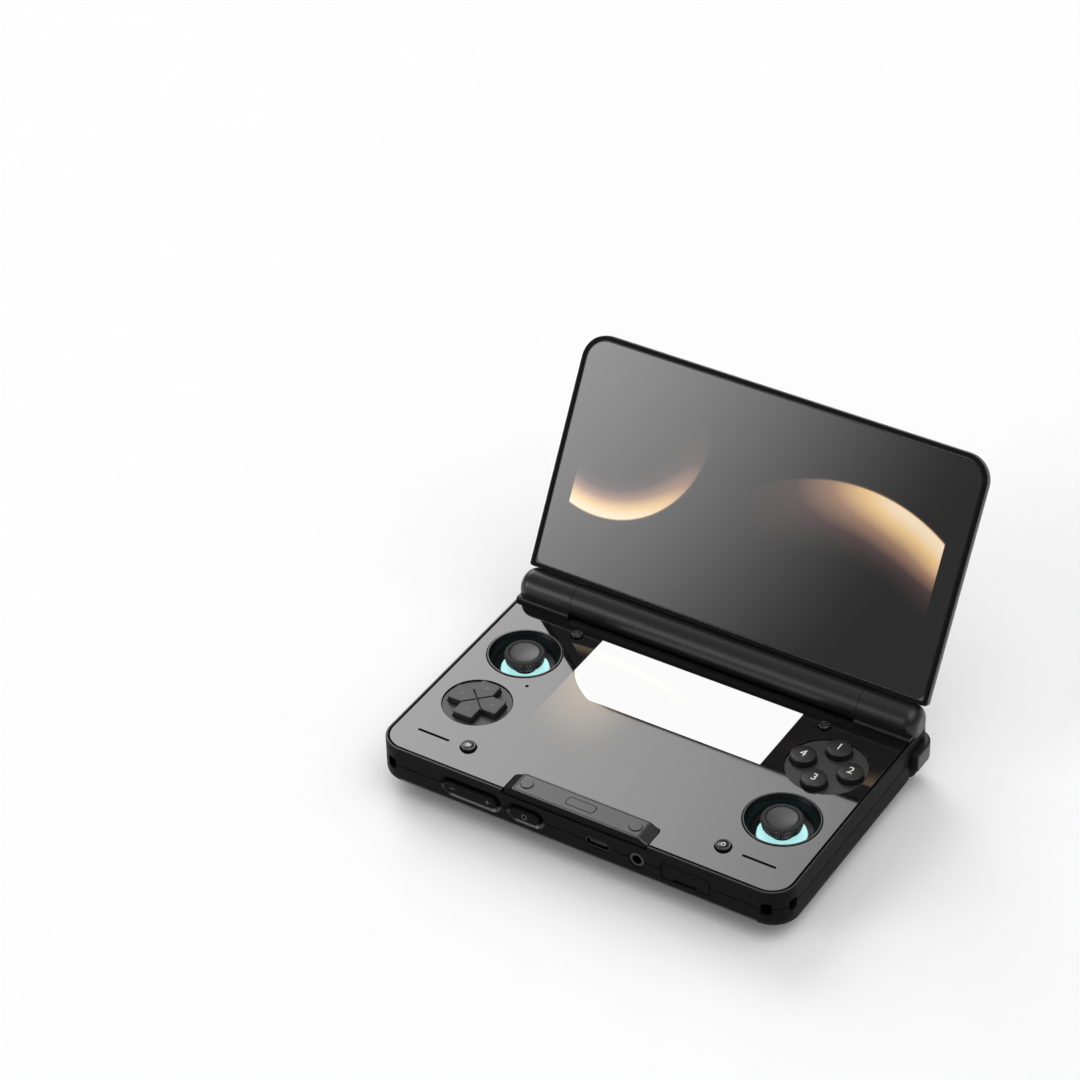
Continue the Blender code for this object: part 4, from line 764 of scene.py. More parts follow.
def deck_glass_finish():
    """Black glass over the small picture: a pale field that curves away at its left."""
    if "deck_glass_black" in bpy.data.materials:
        return bpy.data.materials["deck_glass_black"]
    made, tree, shader = glass("deck_glass_black")
    x, y, z = local_axes(tree, DECK)
    reach = distance(tree, x, y, -0.0120, 0.0800)
    bay = sum_of(tree, "MAXIMUM", eased(tree, reach, 0.0308, 0.0312, 1.0, 0.0),
                 eased(tree, x, -0.0125, -0.0120))
    pale = sum_of(tree, "MULTIPLY", within(tree, x, y, *PALE_FIELD), bay)
    haze = crescent(tree, distance(tree, x, y, -0.0060, 0.0800), radius=0.0290, crisp=0.0300, broad=0.0290)
    side = eased(tree, x, -0.0040, -0.0300)
    shown = within(tree, x, y, *SMALL_PICTURE)
    warm = sum_of(tree, "MULTIPLY", sum_of(tree, "MULTIPLY", haze, side),
                  sum_of(tree, "MULTIPLY", shown, 0.22))
    mix = add(tree, "ShaderNodeMix", data_type="RGBA")
    tree.links.new(pale, mix.inputs[0])
    tinted = add(tree, "ShaderNodeMix", data_type="RGBA")
    tree.links.new(warm, tinted.inputs[0])
    tinted.inputs[6].default_value = (0.0, 0.0, 0.0, 1.0)
    tinted.inputs[7].default_value = (*colours().glow, 1.0)
    tree.links.new(tinted.outputs[2], mix.inputs[6])
    mix.inputs[7].default_value = (*colours().pale, 1.0)
    tree.links.new(mix.outputs[2], shader.inputs["Emission Color"])
    shader.inputs["Emission Strength"].default_value = 0.95
    return made


# Repeats made by Geometry Nodes

def geometry_tree(name, inputs):
    tree = bpy.data.node_groups.new(name, "GeometryNodeTree")
    tree.interface.new_socket("Geometry", in_out="INPUT", socket_type="NodeSocketGeometry")
    for title, kind in inputs:
        tree.interface.new_socket(title, in_out="INPUT", socket_type=kind)
    tree.interface.new_socket("Geometry", in_out="OUTPUT", socket_type="NodeSocketGeometry")
    return tree, tree.nodes.new("NodeGroupInput"), tree.nodes.new("NodeGroupOutput")


def ended(tree, instances, given, result):
    """Realises the copies, gives them their material and ends the tree."""
    real = add(tree, "GeometryNodeRealizeInstances")
    tree.links.new(instances, real.inputs[0])
    coat = add(tree, "GeometryNodeSetMaterial")
    tree.links.new(real.outputs[0], coat.inputs["Geometry"])
    tree.links.new(given.outputs["Material"], coat.inputs["Material"])
    tree.links.new(coat.outputs[0], result.inputs[0])


def knurl_tree():
    """Rows of small pyramids round a drum, each row turned by half a tooth."""
    if "knurl" in bpy.data.node_groups:
        return bpy.data.node_groups["knurl"]
    tree, given, result = geometry_tree("knurl", [
        ("Radius", "NodeSocketFloat"), ("Taper", "NodeSocketFloat"), ("Start", "NodeSocketFloat"),
        ("Pitch", "NodeSocketFloat"), ("Rows", "NodeSocketInt"), ("Count", "NodeSocketInt"),
        ("Tooth", "NodeSocketFloat"), ("Material", "NodeSocketMaterial")])
    out = given.outputs
    total = sum_of(tree, "MULTIPLY", out["Rows"], out["Count"])
    points = add(tree, "GeometryNodePoints")
    tree.links.new(total, points.inputs["Count"])
    index = add(tree, "GeometryNodeInputIndex").outputs[0]
    row = sum_of(tree, "FLOOR", sum_of(tree, "DIVIDE", index, out["Count"]))
    column = sum_of(tree, "MODULO", index, out["Count"])
    step = sum_of(tree, "DIVIDE", 2 * math.pi, out["Count"])
    angle = sum_of(tree, "MULTIPLY", sum_of(tree, "MULTIPLY_ADD", row, 0.5, column), step)
    outward = add(tree, "ShaderNodeCombineXYZ")
    tree.links.new(sum_of(tree, "COSINE", angle), outward.inputs[0])
    tree.links.new(sum_of(tree, "SINE", angle), outward.inputs[1])
    radius = sum_of(tree, "MULTIPLY_ADD", row, out["Taper"], out["Radius"])
    spread = add(tree, "ShaderNodeVectorMath", operation="SCALE")
    tree.links.new(outward.outputs[0], spread.inputs[0])
    tree.links.new(radius, spread.inputs["Scale"])
    lift = add(tree, "ShaderNodeCombineXYZ")
    tree.links.new(sum_of(tree, "MULTIPLY_ADD", row, out["Pitch"], out["Start"]), lift.inputs[2])
    place = add(tree, "ShaderNodeVectorMath", operation="ADD")
    tree.links.new(spread.outputs[0], place.inputs[0])
    tree.links.new(lift.outputs[0], place.inputs[1])
    tree.links.new(place.outputs[0], points.inputs["Position"])
    turn = add(tree, "FunctionNodeAlignRotationToVector", axis="Z")
    tree.links.new(outward.outputs[0], turn.inputs["Vector"])
    tooth = add(tree, "GeometryNodeMeshCone")
    tooth.inputs["Vertices"].default_value = 4
    tree.links.new(out["Tooth"], tooth.inputs["Radius Bottom"])
    tree.links.new(sum_of(tree, "MULTIPLY", out["Tooth"], 0.30), tooth.inputs["Radius Top"])
    tree.links.new(sum_of(tree, "MULTIPLY", out["Tooth"], 0.60), tooth.inputs["Depth"])
    copies = add(tree, "GeometryNodeInstanceOnPoints")
    tree.links.new(points.outputs[0], copies.inputs["Points"])
    tree.links.new(tooth.outputs[0], copies.inputs["Instance"])
    tree.links.new(turn.outputs[0], copies.inputs["Rotation"])
    ended(tree, copies.outputs[0], given, result)
    return tree


def screw_tree():
    """Screw heads with a cross recess at the vertices of a mesh."""
    if "screw_heads" in bpy.data.node_groups:
        return bpy.data.node_groups["screw_heads"]
    tree, given, result = geometry_tree("screw_heads", [
        ("Radius", "NodeSocketFloat"), ("Height", "NodeSocketFloat"), ("Material", "NodeSocketMaterial")])
    out = given.outputs
    head = add(tree, "GeometryNodeMeshCylinder")
    head.inputs["Vertices"].default_value = 32
    tree.links.new(out["Radius"], head.inputs["Radius"])
    tree.links.new(out["Height"], head.inputs["Depth"])
    arms = add(tree, "GeometryNodeJoinGeometry")
    drop = sum_of(tree, "MULTIPLY", out["Height"], -0.5)
    for turn in (0.0, math.pi / 2):
        arm = add(tree, "GeometryNodeMeshCube")
        size = add(tree, "ShaderNodeCombineXYZ")
        tree.links.new(sum_of(tree, "MULTIPLY", out["Radius"], 1.25), size.inputs[0])
        tree.links.new(sum_of(tree, "MULTIPLY", out["Radius"], 0.26), size.inputs[1])
        tree.links.new(out["Height"], size.inputs[2])
        tree.links.new(size.outputs[0], arm.inputs["Size"])
        placed = add(tree, "GeometryNodeTransform")
        tree.links.new(arm.outputs[0], placed.inputs[0])
        placed.inputs["Rotation"].default_value = (0.0, 0.0, turn)
        shift = add(tree, "ShaderNodeCombineXYZ")
        tree.links.new(drop, shift.inputs[2])
        tree.links.new(shift.outputs[0], placed.inputs["Translation"])
        tree.links.new(placed.outputs[0], arms.inputs[0])
    recess = add(tree, "GeometryNodeMeshBoolean", operation="DIFFERENCE")
    tree.links.new(head.outputs[0], recess.inputs[0])
    tree.links.new(arms.outputs[0], recess.inputs[1])
    copies = add(tree, "GeometryNodeInstanceOnPoints")
    tree.links.new(given.outputs["Geometry"], copies.inputs["Points"])
    tree.links.new(recess.outputs[0], copies.inputs["Instance"])
    ended(tree, copies.outputs[0], given, result)
    return tree


def grown(tree, values, points=()):
    """The shape that a tree makes with these inputs, from a mesh of loose points."""
    mesh = bpy.data.meshes.new("seed")
    mesh.from_pydata([tuple(point) for point in points], [], [])
    seed = bpy.data.objects.new("seed", mesh)
    bpy.context.scene.collection.objects.link(seed)
    change = seed.modifiers.new("grow", "NODES")
    change.node_group = tree
    for item in tree.interface.items_tree:
        if item.item_type == "SOCKET" and item.in_out == "INPUT" and item.name in values:
            change[item.identifier] = values[item.name]
    return settled(seed)


# Case

def rolled_in(depth, width, height, full):
    """How far a wall has rolled inward at a depth, where its edge is a quarter ellipse."""
    run = (depth - (full - height)) / height
    if run <= 0:
        return 0.0
    return width * (1 - math.sqrt(max(0.0, 1 - min(run, 1.0) ** 2)))


def case_ring(depth, inward=0.0, full=None, height=None):
    """The case outline at a depth under the glass, drawn in from the outer face."""
    full = full or sizes().bottom
    side = inward + rolled_in(depth, *SIDE_ROUND, full)
    front = inward + rolled_in(depth, *FRONT_ROUND, full)
    rear = inward + rolled_in(depth, *REAR_ROUND, full)
    outline = rounded(-HALF + side, HALF - side, front, CASE_DEPTH - rear,
                      sizes().front_corner - inward, sizes().rear_corner - inward)
    return [(x, y, -depth if height is None else height) for x, y in outline]


def case_depths(start, full, steps=9):
    """Depths from start to the bottom, close together where the edges are round."""
    turn = full - REAR_ROUND[1]
    levels = [turn + REAR_ROUND[1] * math.sin(math.pi / 2 * k / steps) for k in range(steps + 1)]
    return [start] + [level for level in levels if level > start]


def reach_of(node):
    """Distances of a node's two sides from the middle, near one first."""
    low, high = on_deck(node)
    return sorted((abs(low.x), abs(high.x)))


def hinge_round(radius, near=-WIDE, far=WIDE, steps=FINE):
    """A round bar on the hinge line, on the deck's axes."""
    return along_x(circle(HINGE_Y, HINGE_Z, radius, steps), near, far)


def pocket_shapes(grow, low, high):
    """The rear corner pockets that hold shoulder buttons and triggers."""
    shapes = []
    for name, side in SIDES:
        near = reach_of(name + "_shoulder_button")[0] - GAP - grow
        front = on_deck(name + "_trigger")[0].y - TRIGGER_ROOM - grow
        side_front = on_deck(name + "_shoulder_button")[0].y - SHOULDER_ROOM - grow
        step = HALF - STEP_IN - grow
        outline = [(near, front), (step, front), (step, side_front), (HALF + OVERRUN, side_front),
                   (HALF + OVERRUN, CASE_DEPTH + OVERRUN), (near, CASE_DEPTH + OVERRUN)]
        shapes.append(upright([(side * x, y) for x, y in outline], low, high))
    return shapes


def front_openings():
    """The cuts through the front wall, sized by what sits in each."""
    back = sizes().wall + GAP
    shapes = []
    for node in ("volume_rocker", "power_button", "usb_port", "card_cover"):
        low, high = on_deck(node)
        grow = GAP - KEY_FLANGE if node in KEYS else GAP
        x0, x1, z0, z1 = low.x - grow, high.x + grow, low.z - grow, high.z + grow
        corner = (z1 - z0) * (0.14 if node == "card_cover" else 0.49)
        shapes.append(along_y(rounded(x0, x1, z0, z1, corner), -OVERRUN, back))
    low, high = on_deck("headphone_jack")
    jack = circle((low.x + high.x) / 2, (low.z + high.z) / 2, (high.x - low.x) / 2 + GAP, MIDDLING)
    shapes.append(along_y(jack, -OVERRUN, back))
    lanyard, tall, corner, seam = 0.0017, 0.0022, sizes().front_corner, -sizes().seam

    def lanyard_hole(middle):
        return rounded(middle - lanyard, middle + lanyard, seam - tall, seam + tall, lanyard / 2)

    for name, side in SIDES:
        shapes.append(along_y(lanyard_hole(side * (HALF - corner / 2 - lanyard)), -OVERRUN, 2 * sizes().wall))
        near, far = sorted((side * (HALF - 1.5 * sizes().wall), side * (HALF + OVERRUN)))
        shapes.append(along_x(lanyard_hole(corner - lanyard), near, far))
    return shapes


def key_recesses():
    """Flared recesses round the two keys of the front face."""
    shapes = []
    flare = 6 * GAP
    for node in KEYS:
        low, high = on_deck(node)
        outline = [low.x + KEY_FLANGE, high.x - KEY_FLANGE, low.z + KEY_FLANGE, high.z - KEY_FLANGE]
        corner = (outline[3] - outline[2]) / 2
        shapes.append(skin([[(x, y, z) for x, z in rounded(*outline, corner, inward=inward)]
                            for y, inward in ((-GAP / 3, -flare), (flare * 0.6, -GAP))]))
    return shapes


def case_hollow(depths, full):
    wall = sizes().wall
    hollow = skin([case_ring(d, wall, full) for d in depths])
    barrel = hinge_round(sizes().knuckle + TROUGH_ROOM + TROUGH_WALL)
    return combined(hollow, [together(pocket_shapes(wall, -sizes().bottom, -sizes().glass - GAP)), barrel])


def deck_holes(low, high):
    """Round holes for wells, plates and small buttons, and the slots and the microphone."""
    shapes = []
    for node in ("left_stick_bowl", "right_stick_bowl", "dpad_plate", "face_button_plate"):
        x, y, radius, base, top = round_of(node)
        shapes.append(disc(x, y, radius + GAP, low, high))
    for name, side in SIDES:
        for word in ("front", "rear"):
            x, y, radius, base, top = round_of(f"{name}_{word}_button")
            shapes.append(disc(x, y, small_radius(radius) + GAP, low, high, MIDDLING))
    shapes += slot_shapes(low, high)
    shapes.append(disc(*MICROPHONE_PLACE, MICROPHONE_RADIUS, low, high, MIDDLING))
    return shapes


def small_radius(wide):
    """Radius of a small button above the flange that keeps it in."""
    return 0.93 * (wide - FLANGE)


def slot_shapes(low, high, inward=0.0):
    """The two narrow speaker slots."""
    half, tall = SLOT_HALF
    shapes = []
    for name, side in SIDES:
        x, y = side * SLOT_PLACE[0], SLOT_PLACE[1]
        outline = rounded(x - half, x + half, y - tall, y + tall, tall * 0.9, inward=inward)
        shapes.append(upright(outline, low, high))
    return shapes


def knuckle_shapes():
    """The two rounded hinge knuckles on their stands."""
    shapes = []
    radius, turn_in = sizes().knuckle, sizes().knuckle_round
    last = HALF - turn_in
    stations = [(sizes().knuckle_in, 0.0)] + [
        (last + turn_in * math.sin(math.pi / 2 * k / 8), turn_in * (1 - math.cos(math.pi / 2 * k / 8)))
        for k in range(9)]
    low = -sizes().seam / 2
    for name, side in SIDES:
        rings = []
        for x, inward in stations:
            r = radius - inward
            rings.append([(side * x, y, z) for y, z in arc(HINGE_Y, HINGE_Z, r, 0, 180, 32)]
                         + [(side * x, HINGE_Y - r, low), (side * x, HINGE_Y + r, low)])
        shapes.append(skin(rings))
    return shapes


def stand_shapes():
    """The low foot in front of each knuckle, where it meets the deck."""
    shapes = []
    radius = sizes().knuckle
    proud, tall = 0.0011, 0.0016
    for name, side in SIDES:
        near, far = sorted((side * sizes().knuckle_in, side * (HALF - sizes().rim)))
        outline = [(HINGE_Y - radius - proud, -sizes().glass), (HINGE_Y - radius - proud, tall * 0.5)]
        outline += arc(HINGE_Y - radius - proud + tall / 2, tall * 0.5, tall / 2, 180, 90, 6)
        outline += [(HINGE_Y, tall), (HINGE_Y, -sizes().glass)]
        shapes.append(along_x(outline, near, far))
    return shapes


def pin_radius(name):
    low, high = on_deck(name + "_hinge_pin")
    return (high.z - low.z) / 2


def build_upper_case():
    s = sizes()
    low = -s.seam + GAP / 3
    edge = s.edge * 1.6
    levels = ((edge, 0.0), (edge * 0.3, -edge * 0.3), (0.0, -edge), (0.0, low + edge / 2), (edge / 2, low))
    shape = skin([case_ring(0.0, inward=inward, height=height) for inward, height in levels])
    shape = combined(shape, [together(knuckle_shapes()), together(stand_shapes())], "UNION")
    trough = hinge_round(s.knuckle + TROUGH_ROOM, -s.knuckle_in, s.knuckle_in)
    lip = block(-s.knuckle_in, s.knuckle_in, HINGE_Y + s.knuckle / 2, CASE_DEPTH + OVERRUN, -REAR_LIP, OVERRUN)
    plate_top = -s.glass - GAP
    pocket = rounded(-HALF + s.rim, HALF - s.rim, s.rim, HINGE_Y - s.knuckle / 2,
                     s.front_corner - s.rim, s.wall)
    pocket = combined(upright(pocket, plate_top, OVERRUN),
                      [hinge_round(s.knuckle + GAP), together(stand_shapes())])
    hollow = case_hollow([-plate_top + PLATE, s.seam + OVERRUN], s.bottom)
    below = plate_top - PLATE - OVERRUN / 4
    near, far = on_deck("lower_display")
    window = block(near.x - GAP, far.x + GAP, near.y - GAP, far.y + GAP, below, OVERRUN)
    near, far = on_deck("front_ledge")
    notch = upright(rounded(near.x - GAP, far.x + GAP, -OVERRUN, s.rim + GAP, GAP), plate_top, OVERRUN)
    pockets = together(pocket_shapes(0.0, -s.bottom, on_deck("left_shoulder_button")[1].z + GAP))
    bores = []
    for name, side in SIDES:
        reach = reach_of(name + "_hinge_pin")[1] + GAP
        near, far = sorted((side * (s.knuckle_in - OVERRUN), side * reach))
        bores.append(hinge_round(pin_radius(name) + GAP, near, far, MIDDLING))
    holes = together(deck_holes(below, OVERRUN) + [window])
    shape = combined(shape, [trough, lip, pocket, hollow, holes, notch, pockets, together(front_openings()),
                             together(key_recesses()), together(bores)])
    shape = softened(shape, s.edge)
    piece("upper_shell", shape, DECK, "base", case_black(), ["upper_case"])


def screw_places():
    """Two places of case screws on each side: beside the round plate and in front of the shoulder."""
    places = []
    well_radius = round_of("left_stick_bowl")[2]
    for name, side in SIDES:
        places.append((side * (HALF - 2.4 * PILLAR), round_of("dpad_plate")[1] + well_radius + 2 * GAP))
        near = reach_of(name + "_shoulder_button")[0]
        places.append((side * (near - 2 * PILLAR), CASE_DEPTH - REAR_ROUND[0] - GAP))
    return places


def grip_shapes():
    """Swells under the rear corners and low pads under the front ones, which carry the feet."""
    shapes = []
    bottom, floor = -sizes().bottom, sizes().floor
    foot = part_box("left_front_foot")[1].z - GLASS_Z + GAP
    drop = bottom - foot
    for name, side in SIDES:
        rings = []
        for share, z in ((0.0, bottom + 3 * floor), (0.0, bottom + 0.6 * floor), (0.03, bottom + 0.3 * floor),
                         (0.10, bottom), (0.26, bottom - drop * 0.3), (0.48, bottom - drop * 0.62),
                         (0.72, bottom - drop * 0.86), (1.0, foot)):
            inward = share * drop * 1.6
            x0, x1, y0, y1 = GRIP
            outline = rounded(x0 + inward, x1 - inward, y0 + inward, y1 - inward, GRIP_CORNER)
            rings.append([(side * x, y, z) for x, y in outline])
        shapes.append(skin(rings))
        x, y, radius, low, high = round_of(name + "_front_foot")
        profile = [(radius + 0.0037, bottom + floor), (radius + 0.0037, bottom),
                   (radius + 0.0033, bottom - drop * 0.15), (radius + 0.0024, bottom - drop * 0.5),
                   (radius + 0.0017, bottom - drop * 0.85), (radius + 0.0012, foot)]
        shapes.append(turned(profile, FINE, x, y))
    return shapes


def vent_shapes():
    """Slots under the fan, shorter towards the edge of its round intake."""
    x, y, radius, low, high = round_of("fan_rotor")
    count = 7
    pitch = 2 * radius * 0.82 / count
    shapes = []
    for k in range(count):
        at = y + (k - (count - 1) / 2) * pitch
        half = math.sqrt((radius * 0.92) ** 2 - (at - y) ** 2)
        outline = rounded(x - half, x + half, at - pitch * 0.28, at + pitch * 0.28, pitch * 0.27)
        shapes.append(upright(outline, -sizes().bottom - OVERRUN, -sizes().bottom + 1.5 * sizes().floor))
    return shapes


def build_lower_case():
    s = sizes()
    start = s.seam + GAP / 3
    edge = s.edge
    rings = [case_ring(start, inward=edge / 2), case_ring(start + edge / 2)]
    rings += [case_ring(depth) for depth in case_depths(start + edge, s.bottom)[1:]]
    shape = combined(skin(rings), [together(grip_shapes())], "UNION")
    inner = s.bottom - s.floor
    hollow = case_hollow(case_depths(start - OVERRUN, inner), inner)
    pillars = together([disc(x, y, PILLAR, -s.bottom, 0.0, MIDDLING) for x, y in screw_places()])
    hollow = combined(hollow, [pillars])
    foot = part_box("left_rear_foot")[1].z - GLASS_Z
    pockets = together(pocket_shapes(0.0, foot - OVERRUN, OVERRUN))
    hole = [(HEAD_HOLE, -s.bottom - OVERRUN), (HEAD_HOLE, -s.bottom + HEAD_HOLE_DEPTH),
            (SHANK_HOLE, -s.bottom + HEAD_HOLE_DEPTH), (SHANK_HOLE, OVERRUN)]
    holes = [turned(hole, MIDDLING, x, y) for x, y in screw_places()]
    shape = combined(shape, [hollow, pockets, together(front_openings()), together(key_recesses()),
                             together(holes), together(vent_shapes())])
    shape = softened(shape, s.edge)
    piece("lower_shell", shape, DECK, "base", case_black(), ["lower_case"])
    points = [DECK @ Vector((x, y, -s.bottom + HEAD_SINK)) for x, y in screw_places()]
    values = {"Radius": HEAD_RADIUS, "Height": HEAD_HEIGHT, "Material": screw_steel()}
    heads = grown(screw_tree(), values, points)
    piece("case_screws", heads, Matrix(), "base", screw_steel())


def build_deck_glass():
    s = sizes()
    inset = s.glass_in
    rear = HINGE_Y - s.knuckle / 2

    def outline(inward):
        return rounded(-HALF + inset, HALF - inset, inset, rear, s.front_corner - inset, s.wall, inward)

    shape = moulded(outline, -s.glass, 0.0, top=0.0002, steps=2)
    barrel = hinge_round(s.knuckle + TROUGH_ROOM + GAP)
    tail = block(-WIDE, WIDE, HINGE_Y - (s.knuckle + TROUGH_ROOM) / 2, CASE_DEPTH, -OVERRUN, OVERRUN)
    near, far = on_deck("front_ledge")
    notch = upright(rounded(near.x - GAP, far.x + GAP, -OVERRUN, far.y + GAP, 0.0016), -OVERRUN, OVERRUN)
    holes = together(deck_holes(-OVERRUN, OVERRUN))
    shape = combined(shape, [barrel, tail, together(stand_shapes()), holes, notch])
    shape = softened(shape, s.edge * 0.5)
    piece("deck_window", shape, DECK, "base", deck_glass_finish(), ["deck_glass"])
    bars = together(slot_shapes(-s.glass - GAP, -s.glass * 0.6, s.edge / 9))
    piece("slot_bars", bars, DECK, "base", plate_grey())


def build_front_ledge():
    low, high = on_deck("front_ledge")
    top = high.z - GAP
    slope = sizes().ledge_slope
    corner = slope * 0.3

    def ring(along, inward, z):
        outline = rounded(low.x + along, high.x - along, low.y + inward, high.y - inward, corner)
        return [(x, y, z) for x, y in outline]

    shape = skin([ring(0.0, 0.0, low.z), ring(0.0, 0.0, 0.0), ring(slope - GAP, 0.0, top - GAP / 3),
                  ring(slope, GAP / 3, top)])
    pads = []
    recesses = []
    for name, side in SIDES:
        x, y, radius = side * PAD_PLACE[0], PAD_PLACE[1], PAD_RADIUS
        recesses.append(disc(x, y, radius + GAP / 2, top - 0.0006, OVERRUN, MIDDLING))
        pads.append(turned([(radius, top - 0.0012), (radius, top + GAP * 0.7), (radius - GAP * 0.3, top + GAP),
                            (radius * 0.5, top + GAP * 1.05)], MIDDLING, x, y))
    half, deep, slit = 0.0050, 0.0017, 0.8 * GAP

    def badge_outline(inward):
        return rounded(-half, half, PAD_PLACE[1] - deep, PAD_PLACE[1] + deep, 0.0009, inward=inward)

    def insert_outline(inward):
        return rounded(low.x + slope + slit, high.x - slope - slit, low.y + 2 * slit, high.y - 2 * slit,
                       corner / 2, inward=inward)

    seam = combined(upright(insert_outline(0.0), top - GAP, OVERRUN),
                    [upright(insert_outline(slit), -OVERRUN, 2 * OVERRUN)])
    shape = combined(shape, [together(recesses), upright(badge_outline(-slit), top - 0.0006, OVERRUN), seam])
    shape = softened(shape, sizes().edge / 2)
    piece("ledge", shape, DECK, "base", ledge_black(), ["front_ledge"])
    piece("ledge_pads", together(pads), DECK, "base", ledge_black())
    badge = moulded(badge_outline, top - 0.0009, top + GAP / 6, top=GAP / 6, steps=2)
    piece("ledge_badge", badge, DECK, "base", ledge_black())


def build_wells():
    for name, side in SIDES:
        x, y, radius, low, high = round_of(name + "_stick_bowl")
        base = low + 0.0005
        inner = 0.0083
        wall = [(radius - 0.0006, high - 0.0001), (radius - 0.0011, high - 0.0008)]
        run = [(inner + 0.0012 + (radius - 0.0013 - inner - 0.0012) * math.cos(math.pi / 2 * k / 10),
                high - 0.0012 + (base + 0.0012 - high) * math.sin(math.pi / 2 * k / 10)) for k in range(11)]
        section = ([(radius, low), (radius, high + 0.00015), (radius - 0.00015, high + 0.0003),
                    (radius - 0.0005, high + 0.0003)] + wall + run + [(inner, base - 0.0003), (inner, low)])
        piece(name + "_well", turned_ring(section, FINE, x, y), DECK, "base", well_black(),
              [name + "_stick_bowl"])
        x, y, radius, low, high = round_of(name + "_light_ring")
        inner = radius - sizes().light
        section = [(inner, low), (radius, low), (radius, high), (radius - 0.0003, high + 0.0001), (inner, high)]
        ring = turned_ring(section, FINE, x, y)
        piece(name + "_ring_light", ring, DECK, "base", ring_light(), [name + "_light_ring"])


def build_sticks():
    for name, side in SIDES:
        x, y, radius, low, top = round_of(name + "_stick")
        node = name + "_stick"
        under = top - 0.0039
        stem, rim, edge, dish = 0.0017, radius - 0.0003, 0.0006, radius - 0.0019
        profile = [(0.0013, low), (0.0024, low + 0.0008), (0.0026, low + 0.0016), (stem, low + 0.0028),
                   (stem, under - 0.0004), (0.0046, under - 0.0002), (radius - 0.0014, under),
                   (radius - 0.0009, under + 0.0003), (rim, top - 0.0015), (rim, top - edge)]
        profile += [(rim - edge * (1 - math.cos(t)), top - edge + edge * math.sin(t))
                    for t in (0.4, 0.8, 1.2, math.pi / 2)]
        profile += [(radius - 0.0012, top), (dish + 0.0003, top - 0.0001), (dish + 0.00012, top - 0.0007),
                    (dish * 0.5, top - 0.0016)]
        cap = turned(profile, FINE, x, y)
        piece(name + "_thumb_stick", cap, DECK, node, stick_rubber(), [node])
        profile = [(dish, top - 0.0013), (dish, top - 0.0003), (dish - 0.0002, top - 0.0001)]
        profile += [(dish * share, top - 0.0001 - 0.0007 * (1 - share ** 2))
                    for share in (0.92, 0.82, 0.7, 0.55, 0.38, 0.2, 0.06)]
        pad = turned(profile, FINE, x, y)
        # The pad takes the stick rubber painted lighter: a painted highlight.
        piece(name + "_thumb_pad", pad, DECK, node, thumb_rubber_painted_highlight())
        # The teeth take the stick rubber painted lighter: a painted highlight.
        teeth = grown(knurl_tree(), {
            "Radius": radius - 0.00085, "Taper": 0.00015, "Start": under + 0.0004, "Pitch": 0.00064,
            "Rows": 5, "Count": 42, "Tooth": sizes().tooth, "Material": knurl_rubber_painted_highlight()})
        bmesh.ops.translate(teeth, vec=(x, y, 0), verts=teeth.verts)
        piece(name + "_stick_knurl", teeth, DECK, node, knurl_rubber_painted_highlight(), sharp=20.0)


# D-pad and buttons

def cross_outline(reach, half, inward=0.0):
    """A plus whose arms end in a slight curve."""
    half, reach = half - inward, reach - inward
    corner = half * 0.22
    end = arc(reach - corner, half - corner, corner, 90, 0, 5)
    end += [(px, -py) for px, py in reversed(end)]
    points = []
    for k in range(4):
        c, s = math.cos(-math.pi / 2 * k), math.sin(-math.pi / 2 * k)
        points += [(px * c - py * s, px * s + py * c) for px, py in [(half, half)] + end]
    return points


def round_plate(node):
    """A round plate under buttons, drawn about its own middle."""
    x, y, radius, low, high = round_of(node)
    return moulded(lambda inward: circle(0, 0, radius + GAP / 2 - inward), low, high, top=0.0002, steps=3)


def build_dpad():
    x, y, radius, low, high = round_of("dpad_plate")
    pad = on_deck("dpad")
    reach, half = (pad[1].x - pad[0].x) / 2, 0.0037
    at = DECK @ Matrix.Translation((x, y, 0))
    hole = upright(cross_outline(reach + GAP, half + GAP), low - OVERRUN, high + OVERRUN)
    plate = softened(combined(round_plate("dpad_plate"), [hole]), sizes().edge * 0.6)
    piece("dpad_disc", plate, at, "base", plate_grey(), ["dpad_plate"])
    top = pad[1].z
    shape = moulded(lambda inward: cross_outline(reach, half, inward), pad[0].z, top, top=0.00035, steps=4)
    width, deep, run = 0.00034, 0.0011, half * 1.42
    section = [(-width, top + OVERRUN / 10), (width, top + OVERRUN / 10), (width * 0.8, top - deep),
               (-width * 0.8, top - deep)]
    grooves = []
    for turn in (45, 135):
        groove = along_x(section, -run, run)
        bmesh.ops.rotate(groove, cent=(0, 0, 0), matrix=Matrix.Rotation(math.radians(turn), 3, "Z"),
                         verts=groove.verts)
        grooves.append(groove)
    shape = softened(combined(shape, grooves), sizes().edge * 0.5)
    piece("cross_pad", shape, at, "dpad", plate_grey(), ["dpad"])
    arrows = []
    for k in range(4):
        arrow = upright([(reach * 0.74, 0.0), (reach * 0.60, half * 0.24), (reach * 0.60, -half * 0.24)],
                        top - 0.00005, top + 0.00002)
        bmesh.ops.rotate(arrow, cent=(0, 0, 0), matrix=Matrix.Rotation(math.pi / 2 * k, 3, "Z"),
                         verts=arrow.verts)
        arrows.append(arrow)
    piece("cross_pad_marks", together(arrows), at, "dpad", dim_print())


def numeral(text, height):
    """One numeral as a thin flat shape, centred on its place."""
    words = bpy.data.curves.new("numeral", "FONT")
    words.body = text
    words.size = height / 0.72
    words.extrude = 0.00003
    words.offset = -height * 0.004
    words.align_x = "CENTER"
    words.align_y = "CENTER"
    made = bpy.data.objects.new("numeral", words)
    bpy.context.scene.collection.objects.link(made)
    return settled(made)


